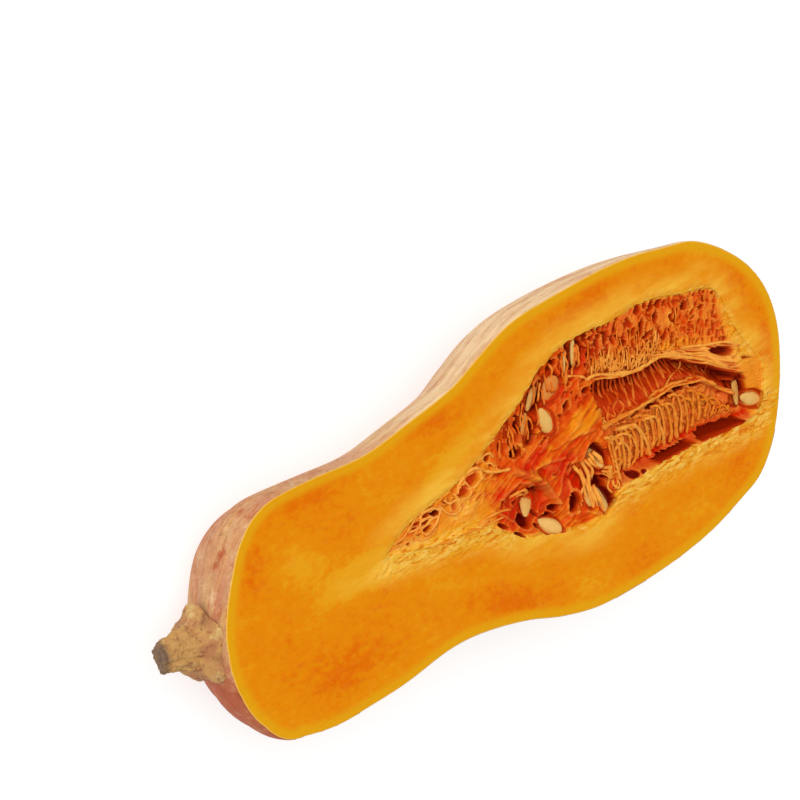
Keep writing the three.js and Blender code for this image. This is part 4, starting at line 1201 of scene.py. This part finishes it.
# single strands: their places, radius, paleness and gold
strands = [
    ([(112, 18), (121, 15), (128.3, 12.3), (136.9, 9.6), (142.3, 7.2), (147, 2.7)], 0.8, 0.8, 0.7),
    ([(106, 15.6), (114, 12.2), (121, 8), (127, 4), (132, 0), (138, -4.5)], 0.8, 0.7, 0.6),
    ([(114, 14), (120, 11.4), (125, 9.4), (129, 7.6)], 0.6, 0.7, 0.7),
    ([(42.6, 35.2), (46.2, 34.3), (50.4, 32.2), (53.5, 29.9), (54.6, 27.7)], 0.6, 0.7, 0.4),
    ([(54.6, 27.7), (57.1, 28.6), (61.9, 27.6), (66.7, 25.2), (72, 22.5)], 0.75, 0.8, 0.4),
    ([(-6.2, -6.2, -5), (-3.9, -5.3, -3.4), (-1, -5.2, -2.8), (2.7, -5.8, -3), (4.8, -8.6, -5)],
        0.9, 0.7, 0.4),
    ([(-6.5, -8, -6.5), (-3, -7, -4.4), (0.5, -7.2, -4), (4, -9.5, -5.6)], 0.6, 0.55, 0.4),
    ([(-34.3, 11.7), (-32.6, 14), (-28.7, 16.6), (-24.2, 18.2), (-20, 17.6), (-16.5, 15)], 0.8, 0.9, 0.5),
    ([(-17.5, 15.8), (-13.2, 12.2), (-7.4, 9.8), (-2, 8)], 0.8, 0.85, 0.5),
    ([(-58, 12), (-53.5, 11.6), (-49, 11), (-44.5, 7.5)], 0.65, 0.9, 0.4),
    ([(-60, 5.6), (-56, 5.2), (-52, 6.6), (-47, 5.8)], 0.65, 0.9, 0.4),
    ([(-58, 1.2), (-55, 1), (-51.6, 2.6), (-48, 5.4), (-44, 10)], 0.65, 0.9, 0.4),
    ([(-58, 8), (-55.6, 8.4), (-52, 8), (-50, 6.2)], 0.6, 0.9, 0.4),
    ([(-66, 6.6), (-60, 6), (-57.5, 8.8), (-56.6, 11.4)], 0.55, 0.85, 0.4),
    ([(-76, 5), (-70, 5.6), (-64, 8.6), (-58, 11.4)], 0.5, 0.6, 0.6),
    ([(-78, 3.5), (-71, 2.8), (-65, 3.6), (-60, 5.4)], 0.5, 0.6, 0.6),
    ([(-42, 12), (-40, 9), (-36.5, 8.8), (-33, 8)], 0.6, 0.8, 0.4),
    ([(-45.6, 11.2), (-42.6, 5.2), (-38, 2.6), (-33.6, 4.6)], 0.6, 0.8, 0.5),
    ([(-36, 12.4), (-34.6, 9), (-34.4, 4)], 0.55, 0.8, 0.4),
    ([(-28.6, 16.4), (-27.4, 12.6), (-25.4, 9)], 0.55, 0.8, 0.4),
    ([(-64, 2.4), (-60.6, 0.2), (-55, -0.4), (-50, 1.6)], 0.5, 0.7, 0.5),
    ([(-19, 19.4), (-15.4, 20.8), (-11, 21), (-8.6, 17.6)], 0.6, 0.8, 0.4),
    ([(-14.8, 16.4), (-11.6, 16.2), (-9.6, 12.6)], 0.5, 0.8, 0.4),
    ([(-16, 22.6), (-11, 24.6), (-5, 25.4)], 0.5, 0.8, 0.4),
    ([(-61.5, -4.2, -1), (-57, -5.9, -0.9), (-52, -6.4, -0.9), (-46.8, -7.6, -0.7), (-40, -7.2, -0.9)],
        0.6, 0.3, 0.6),
    ([(-44, -6.6, -1), (-38, -8.2, -0.9), (-33, -8.6, -0.8), (-28.8, -10.2, -0.8), (-22, -10.4, -1)],
        0.7, 0.25, 0.6),
    ([(-50.4, -7, -1), (-49, -9.6, -0.7), (-47.2, -12.9, -0.4)], 0.5, 0.5, 0.9),
    ([(-43.2, -7.5, -1), (-40, -9.9, -0.7), (-36.6, -11.2, -0.5)], 0.5, 0.4, 0.9),
    ([(-30, -9), (-22, -7.6), (-14, -8.4), (-8, -11)], 0.6, 0.5, 0.6),
    ([(-26, -10), (-19, -11), (-12, -12)], 0.5, 0.5, 0.6),
]

# big pale strings at the left of the near bank: their places and radius
bankStrings = [
    ([(63.6, -3.9), (69.6, -5.3), (75.2, -6.8), (78.3, -12.8), (79.7, -19.2), (79.8, -26)], 1.0),
    ([(79.9, -6.6), (84.2, -7.4), (88.4, -8.8), (89.8, -13.3), (90.3, -20), (89.4, -26)], 0.9),
    ([(57, -9), (62, -7.2), (68, -8), (72, -12), (73, -18), (72, -24)], 0.8),
    ([(60, -14), (64, -11.4), (67.6, -14), (67.6, -20), (65, -26)], 0.7),
]
# strings on the slope from the septum down to the crest
slopeStrings = [
    [(77.4, 14.5), (76.9, 5.6), (77.2, 2.3)], [(84, 16), (81.8, 9.5), (80, 2.8)],
    [(88.1, 14), (88, 6.5), (88.4, 1.3)], [(91.8, 14), (91.9, 6.5), (93.1, 1.5)],
    [(95.9, 15), (96.2, 7.6), (96.6, 2.4)], [(100.4, 15.5), (101.2, 9), (101.3, 3.5)],
    [(105, 12), (105.6, 8), (106, 3)], [(71.4, 8.2), (67.3, 6.4), (67.4, 1.5)],
    [(71.4, 8.2), (73.3, 4.2), (68.4, 0.5)], [(66.4, 9), (63.8, 6.3), (62, 2.2)],
    [(62.3, 9.5), (63.4, 5.2), (67, 1.4)], [(71.4, 14), (72, 11), (71.4, 8.2)],
    [(66, 14.7), (66.6, 11), (66.4, 8.1)], [(110.6, 9.5), (111.6, 5), (112, 1)],
    [(120, 4), (119, 0), (118, -3)], [(128.4, 1.1), (127.6, -2), (127.1, -5)],
    [(123, 3.4), (123.5, 0), (124, -5)],
]
# one string that sags across the chamber
sagging = [(114.3, 9.8), (111.5, 6.6), (104.8, 5.4), (99.6, 2.2), (95.3, 1.1)]
# the pale husk that fans out to the seeds in the near pit: places, radius and paleness
husk = [
    ([(37.7, -7.5, -1.6), (38.9, -14.9, -1.8), (37.8, -20.2, -2), (38.2, -27.2, -3), (38.5, -36.7, -5)],
        0.95, 0.8),
    ([(32.7, -7.5, -2), (35, -14.6, -2.2), (34.5, -23.6, -2.6), (34.9, -33.1, -5)], 0.8, 0.75),
    ([(35.5, -10.6, -1.6), (35.6, -18.2, -1.8), (31.8, -23.7, -3), (31.5, -31.4, -4.6), (36.7, -36.2, -6)],
        0.75, 0.7),
    ([(40.4, -22.1, -2.4), (41.3, -29.6, -2.4), (42.2, -35.2, -3.6), (43.9, -38.4, -5)], 1.1, 0.95),
    ([(38.4, -21.9, -2.4), (39.4, -30.1, -3), (40.6, -37.6, -5)], 0.8, 0.85),
    ([(39.6, -7.7, -2), (42.2, -14, -2), (41.4, -18.7, -3.4)], 0.8, 0.7),
    ([(37.2, -17.1, -1.8), (36.5, -26.3, -2.6), (37.4, -33, -4), (38.2, -36.4, -6)], 0.8, 0.85),
    ([(43.9, -6.6, -2.4), (44.5, -10.2, -1.8), (46.2, -14.4, -3)], 1.0, 0.85),
    ([(45.9, -6.7, -2.4), (48.2, -11.2, -1.8), (49.3, -16, -3)], 1.1, 0.9),
    ([(43.1, -8.7, -3), (43.7, -12.4, -2.4), (47.6, -16.2, -3.4)], 0.8, 0.7),
]


def buildFibres(material):
    draw = random.Random(fibre["seed"])
    between = draw.uniform
    bundle = Bundle()

    def overHole(x, y):
        places = (placeInOval(oval, x, y) for oval in holes if oval[4] >= 4)
        return any(place is not None and place < 1.25 for place in places)

    # a loose fibre whose bow, radius and paleness are drawn
    def loose(start, end, bow, lift, radius, pale, gold, red, wander=0.4):
        line = fibreLine(start, end, between(-bow, bow), lift, wander=wander)
        bundle.add(line, between(*radius), between(*pale), gold, red)

    # the same, unless it would cross an open hole
    def stray(start, end, bow, lift, radius, pale, red):
        middle = ((start[0] + end[0]) / 2, (start[1] + end[1]) / 2)
        if not any(overHole(*place) for place in (start, middle, end)):
            loose(start, end, bow, lift, radius, pale, 0.45, red, 0.3)

    for places, radius, pale, gold in strands:
        bundle.add(strandLine(places), radius, pale, gold, 0.0)
    # hooked strings down the near bank, nested in one another
    x = 58.0
    count = 0
    while x < 134:
        reach = (2.6, 6.2, 9.4)[count % 3] + between(-0.8, 0.8)
        top = bankCrest(x) - 4.0 - 0.5 * reach
        bottom = nearEdge(x) + between(3.5, 7) + 3 * step(x, 108, 116)
        middle = mix(top, bottom, 0.5)
        hook = [
            (x - 5.4 + between(-1, 1), top + between(0, 1.4)), (x - 2.2, top), (x, top - 3.2),
            (x + between(0.2, 1.2), middle), (x - between(-0.4, 1.0), mix(middle, bottom, 0.55)),
            (x - between(0.3, 2.0), bottom),
        ]
        tone = 0.5 - 0.3 * step(x, 108, 120)
        bundle.add(strandLine(hook, 0.7, 6), between(0.65, 0.9), between(0.25, 0.5) * 2 * tone, 0.6, 0.25)
        if count % 3 == 1:
            side = [(x - 5.0, top + 1), (x - 7.2, top - 2.5), (x - 7.6, middle)]
            side.append((x - 8.4, mix(middle, bottom, 0.8)))
            bundle.add(strandLine(side, 0.6, 6), between(0.5, 0.7), between(0.1, 0.4), 0.5, 0.3)
        x += fibre["combPitch"] * between(0.85, 1.15)
        count += 1
    for places, radius in bankStrings:
        bundle.add(strandLine(onPulp(places, -5, 0.8), 0, 6), radius, 0.65, 0.6, 0.0)
    # thinner strings between and across them
    for _ in range(fibre["acrossComb"]):
        x = between(56, 137)
        top = bankCrest(x) - between(4, 16)
        end = (x + between(-4, 5), max(top - between(3, 8), nearEdge(x) + 4))
        loose((x, top), end, 2, 0.7, (0.3, 0.5), (0.1, 0.55), 0.5, 0.2)
    for places in slopeStrings:
        line = strandLine(onPulp(places, -6, 0.5), 0, 5)
        bundle.add(line, between(0.6, 0.85), between(0.1, 0.3), 0.35, 0.5)
    x = 60.0
    while x < 132:
        bottom = mix(septumEdge(x), bankCrest(x), between(0.75, 1.0))
        middle = (x + between(-0.8, 0.8), mix(septumEdge(x), bottom, 0.5))
        line = strandLine([(x, septumEdge(x) - 1.0), middle, (x + between(-1, 1), bottom)], 0.4, 5)
        bundle.add(line, between(0.5, 0.75), between(0.0, 0.25), 0.25, 0.6, 0.1)
        x += between(1.9, 3.4)
    bundle.add(strandLine(onPulp(sagging, -5.6, 1.0)), 0.5, 0.6, 0.4, 0.1)
    # cords along the crest of the near bank
    for offset, size in ((0.9, 0.8), (0.0, 0.6)):
        for x in range(54, 126, 16):
            start = (x, bankCrest(x) + offset)
            end = (x + 19, bankCrest(x + 19) + offset + between(-0.5, 0.5))
            line = fibreLine(start, end, between(-0.5, 0.5), 0.7)
            bundle.add(line, size * between(0.85, 1.2), between(0.3, 0.5), 0.5, 0.1)
    # frayed strings of the septum, along its lower edge and over its band
    for _ in range(fibre["onSeptum"]):
        x = between(58, 114)
        y = septumEdge(x) + between(0.2, 1.8) + between(0, 3) * step(x, 92, 104)
        endX = x + between(7, 14)
        end = (endX, septumEdge(endX) + y - septumEdge(x) + between(-0.6, 0.6))
        loose((x, y), end, 0.6, 0.45, (0.3, 0.55), (0.6, 0.95), 0.6, 0.0)
    # lace beside the septum
    for i in range(fibre["lace"]):
        x = between(56, 102)
        y = septumEdge(x) + between(0.5, 9)
        angle = math.radians(between(52, 84) if i % 3 else between(5, 32))
        reach = between(5, 11)
        end = (x + reach * math.cos(angle), y + reach * math.sin(angle))
        stray((x, y), end, 1.0, 0.35, (0.3, 0.5), (0.3, 0.75), 0.15)
    # walls of the far bank
    for _ in range(fibre["farWalls"]):
        x = between(56, 140)
        low, high = septumEdge(x) + 4, farEdge(x) - 2
        y = mix(low, high, draw.random())
        reach = between(4, 9)
        end = (x + reach * between(0.2, 0.6), min(y + reach, high))
        stray((x, y), end, 0.8, 0.25, (0.3, 0.5), (0.05, 0.35), 0.3)
    # threads between the seeds of the far row
    for _ in range(fibre["seedRow"]):
        x = between(-2, 56)
        y = farEdge(x) - between(2, 14)
        angle = math.radians(between(55, 80))
        reach = between(6, 12)
        end = (x - reach * math.cos(angle), y - reach * math.sin(angle))
        line = fibreLine((x, y), end, between(-1.2, 1.2), 0.6, slack=between(-0.4, 0.6), wander=1.0)
        bundle.add(line, between(0.4, 0.65), between(0.1, 0.4), 0.4, 0.35)
    for places, radius, pale in husk:
        bundle.add(strandLine(places), radius, pale, 0.5, 0.0)
    # the tangle below the near bank
    for _ in range(fibre["tangle"]):
        x, y = between(49, 70), between(-38, -22)
        if y < nearEdge(x) + 1.5:
            continue
        angle = math.radians(between(30, 150))
        reach = between(4, 8)
        end = (x + reach * math.cos(angle), max(y + reach * math.sin(angle), nearEdge(x) + 1))
        loose((x, y), end, 2.5, 0.8, (0.4, 0.7), (0.3, 0.8), 0.5, 0.1)
    # torn threads at the right edge of the membrane
    for _ in range(fibre["tornEdge"]):
        y = between(0, 20)
        start = (between(55, 58), y)
        end = (start[0] + between(2, 5), y + between(-3, 2))
        loose(start, end, 0.8, 0.4, (0.3, 0.5), (0.3, 0.7), 0.6, 0.1)
    return makePiece("pulpFibres", bundle.points, bundle.faces, material, bundle.looks, "pulp")


seeds = {
    "stations": 22,
    "sides": 24,
    "length": 13.6,
    "width": 8.2,
    "thickness": 2.7,
    "cream": paint(232, 196, 114),
    "warm": paint(212, 146, 66),
    "stain": paint(208, 112, 40),
    "rim": paint(186, 120, 56),
    "patches": (170.0, 3.0, 0.6),
    "grain": (900.0, 2.0, 0.5),
    "bump": (0.0002, 0.5),
    "shader": {
        "Subsurface Weight": 0.15,
        "Subsurface Radius": (1.0, 0.7, 0.3),
        "Subsurface Scale": 0.002,
        "Specular IOR Level": 0.2,
        "Specular Tint": (1.0, 0.85, 0.6, 1.0),
    },
}


def buildSeeds(material):
    stations, sides = seeds["stations"], seeds["sides"]
    for number, (at, heading, roll, pitch, stain, _, _) in enumerate(seedPlaces, 1):
        turn = (
            Matrix.Translation(at)
            @ Matrix.Rotation(math.radians(heading), 4, "Z")
            @ Matrix.Rotation(-math.radians(pitch), 4, "Y")
            @ Matrix.Rotation(math.radians(roll), 4, "X")
        )
        points, rim = [], []
        for i in range(1, stations):
            angle = math.pi * i / stations
            x = -math.cos(angle) * seeds["length"] / 2
            taper = 1 - 0.3 * step(x, -seeds["length"] / 4, seeds["length"] / 2)
            roundness = math.sin(angle) ** 0.85 * taper
            for k in range(sides):
                a = -2 * math.pi * k / sides
                edge = abs(math.cos(a))
                plump = 1 - 0.22 * bump(edge - 0.86, 0.12)  # a groove just inside the rim
                points.append(turn @ Vector((
                    x,
                    seeds["width"] / 2 * roundness * math.cos(a),
                    seeds["thickness"] / 2 * math.sqrt(roundness) * math.sin(a) * plump,
                )))
                rim.append(step(edge, 0.62, 0.96))
        lastRing = stations - 2
        faces = ringFaces(lastRing, sides)
        for x, ring in ((-seeds["length"] / 2, 0), (seeds["length"] / 2, lastRing)):
            points.append(turn @ Vector((x, 0, 0)))
            rim.append(1.0)
            tip = len(points) - 1
            for k in range(sides):
                a, b = ring * sides + k, ring * sides + (k + 1) % sides
                faces.append((tip, a, b) if ring == 0 else (tip, b, a))
        name = f"seed{number:02d}"
        looks = {"rim": rim, "stain": [stain] * len(points)}
        makePiece(name, points, faces, material, looks, f"seed_{number:02d}")


def seedMaterial():
    material, start, place = newMaterial("squashSeedCoat")
    patches, grain = place.cloud(*seeds["patches"]), place.cloud(*seeds["grain"])
    stain = start.stored("stain")
    colour = start.coated(seeds["cream"], [
        (stain * 1.3 + (patches - 0.5) * 1.2, seeds["warm"]),
        ((stain + (patches - 0.5) * 1.4).between(0.45, 1.3), seeds["stain"]),
        (start.stored("rim") * 0.4, seeds["rim"]),
    ])
    return finishMaterial(material, seeds, colour, 0.35 + patches * 0.15, grain)


stem = {
    "line": [(-168, 1, -21), (-177.5, 3, -20), (-188, 6.5, -17.5), (-198.7, 9.4, -15)],
    "stations": 90,
    "sides": 120,
    "cork": paint(192, 144, 80),
    "cream": paint(214, 186, 120),
    "pinkish": paint(174, 114, 70),
    "brown": paint(132, 82, 50),
    # dark brown for the stem's cut tip, and for painted shade in the ring where the stem meets the rind
    "dark": paint(92, 70, 58),
    "cutEnd": [(0.8, 0.5), (0.5, 0.1), (0.2, -0.6)],  # its rings: share of the radius, height
    "patches": (120.0, 5.0, 0.7, 0.6),
    "broad": (60.0, 4.0, 0.6, 0.5),
    "dots": (330.0, 3.0, 0.6),
    "bump": (0.0014, 0.8),
    "shader": {},
}
stemRadius = curveThrough([
    (0, 9), (0.12, 15), (0.22, 18.2), (0.32, 17.6), (0.48, 12), (0.66, 9.2), (0.86, 8.1), (1, 7),
])


def buildStem(material):
    thirds = [i / 3 for i in range(4)]
    coordinates = [curveThrough(list(zip(thirds, values))) for values in zip(*stem["line"])]

    def along(t):
        return Vector([coordinate(t) for coordinate in coordinates])

    stations, sides = stem["stations"], stem["sides"]
    points = []
    looks = {"tip": [], "ridge": [], "flareShade": []}
    for i in range(stations + 1):
        t = i / stations
        centre = along(t)
        ahead = (along(min(t + 0.02, 1.0)) - along(max(t - 0.02, 0.0))).normalized()
        across = Vector((ahead.y, -ahead.x, 0)).normalized()
        up = across.cross(ahead)
        lobed = mix(0.09, 0.05, step(t, 0.3, 0.8))
        slant = 2.4 * step(t, 0.8, 1)
        for k in range(sides):
            a = 2 * math.pi * k / sides
            direction = across * math.cos(a) + up * math.sin(a)
            ribs = 0.35 * math.sin(15 * a + 3 * t) * step(t, 0.2, 0.5)
            cork = 1.3 * wave(centre.x * 0.2, 2.6 * math.cos(a), 2.6 * math.sin(a))
            cork += 0.6 * wave(centre.x * 0.7, 9 * math.cos(a), 9 * math.sin(a))
            lobe = math.cos(5 * a + 0.6)
            radius = stemRadius(t) * (1 + lobed * lobe)
            radius += (ribs + cork - 0.3) * step(t, 0.1, 0.3)
            points.append(centre + direction * radius + ahead * slant * math.sin(a))
            # the last number is painted shade in the ring where the stem's flare meets the rind
            note(looks, (step(t, 0.9, 1.0), lobe * (1 - step(t, 0.3, 0.6)), bump(t - 0.16, 0.07)))
    end = along(1.0)
    ahead = (end - along(0.98)).normalized()
    for shrink, sink in stem["cutEnd"]:
        for rim in points[stations * sides:(stations + 1) * sides]:
            points.append(end.lerp(rim, shrink) + ahead * sink)
            note(looks, (1.0, 0.0, 0.0))
    rings = ringFaces(stations + len(stem["cutEnd"]), sides)
    faces = [(a, d, c, b) for a, b, c, d in rings]
    faces.append(list(range(len(points) - sides, len(points))))
    faces.append(list(range(sides))[::-1])
    return makePiece("stemCork", points, faces, material, looks, "stem")


def stemMaterial():
    material, start, place = newMaterial("squashStem")
    patches, broad, dots = [place.cloud(*stem[name]) for name in ("patches", "broad", "dots")]
    ridge = start.stored("ridge")
    colour = start.coated(stem["cork"], [
        (broad.between(0.44, 0.66), stem["pinkish"]),
        ((patches + ridge * 0.12).between(0.5, 0.7) * 0.8, stem["cream"]),
        (dots.between(0.52, 0.68) * 0.8, stem["brown"]),
        ((ridge * -1).between(0.3, 1.0) * 0.5, stem["brown"]),
        # painted shade where the stem meets the rind
        (start.stored("flareShade") * (0.5 + patches * 0.6), stem["dark"]),
        (start.stored("tip") * (0.5 + dots * 0.6), stem["dark"]),
    ])
    return finishMaterial(material, stem, colour, 0.75 + dots * 0.2, patches + dots * 0.5)


print("flesh and rind")
buildFlesh(fleshMaterial())
print("pulp")
pulpFinish = pulpMaterial()
buildPulp(pulpFinish)
print("fibres")
buildFibres(pulpFinish)
print("seeds")
buildSeeds(seedMaterial())
print("stem")
buildStem(stemMaterial())


studio = {
    "floorWidth": 12.0,
    "floorGrey": 0.5,
    "floorWarmth": 0.99,
    "floorGlow": 0.6,  # the white table is lit from below, so shadows stay faint
    "worldStrength": 0.45,
    "sunStrength": 2.25,
    "sunSpread": 50,  # degrees, which makes its shadows soft
    "sunFrom": (-0.5, 0.55, 1.0),
}
view = {
    "place": (-650.46, 488.97, 1071.69),  # in the cut frame, mm
    "look": (0.46375, -0.32455, -0.82438),
    "up": (0.4338, 0.8945, -0.10812),
    "lens": 127.0,
    "sensor": 36.0,
    "farClip": 50.0,
}


def buildStudio():
    mesh = bpy.data.meshes.new("floor")
    reach = studio["floorWidth"] / 2
    corners = [(-reach, -reach, 0), (reach, -reach, 0), (reach, reach, 0), (-reach, reach, 0)]
    mesh.from_pydata(corners, [], [(0, 1, 2, 3)])
    floor = addObject("floor", mesh)
    material, start, place = newMaterial("paleFloor")
    shader = material.node_tree.nodes["Principled BSDF"]
    grey = studio["floorGrey"]
    warmer = (grey, grey, grey * studio["floorWarmth"], 1)
    colour = start.colourMix(place.cloud(3.0), (grey, grey, grey, 1), warmer)
    start.tree.links.new(colour.socket, shader.inputs["Base Color"])
    shader.inputs["Roughness"].default_value = 0.9
    shader.inputs["Specular IOR Level"].default_value = 0.1
    shader.inputs["Emission Color"].default_value = (1, 1, 1, 1)
    shader.inputs["Emission Strength"].default_value = studio["floorGlow"]
    mesh.materials.append(material)
    world = bpy.data.worlds.new("studioSky")
    world.use_nodes = True
    background = world.node_tree.nodes["Background"]
    background.inputs["Color"].default_value = (1, 1, 1, 1)
    background.inputs["Strength"].default_value = studio["worldStrength"]
    bpy.context.scene.world = world
    light = bpy.data.lights.new("softSun", "SUN")
    light.energy = studio["sunStrength"]
    light.angle = math.radians(studio["sunSpread"])
    lamp = addObject("softSun", light)
    lamp.location = studio["sunFrom"]
    lamp.rotation_mode = "QUATERNION"
    lamp.rotation_quaternion = (-Vector(studio["sunFrom"])).to_track_quat("-Z", "Y")


def buildCamera():
    turn = restPose.to_3x3().normalized()
    back = turn @ -Vector(view["look"])
    up = turn @ Vector(view["up"])
    right = up.cross(back).normalized()
    up = back.cross(right).normalized()
    data = bpy.data.cameras.new("camera")
    data.lens = view["lens"]
    data.sensor_width = view["sensor"]
    data.clip_end = view["farClip"]
    camera = addObject("camera", data)
    stand = Matrix.Translation(restPose @ Vector(view["place"]))
    camera.matrix_world = stand @ Matrix((right, up, back)).transposed().to_4x4()
    bpy.context.scene.camera = camera


print("studio")
buildStudio()
buildCamera()
bpy.context.scene.view_settings.view_transform = "Standard"
bpy.context.view_layer.update()
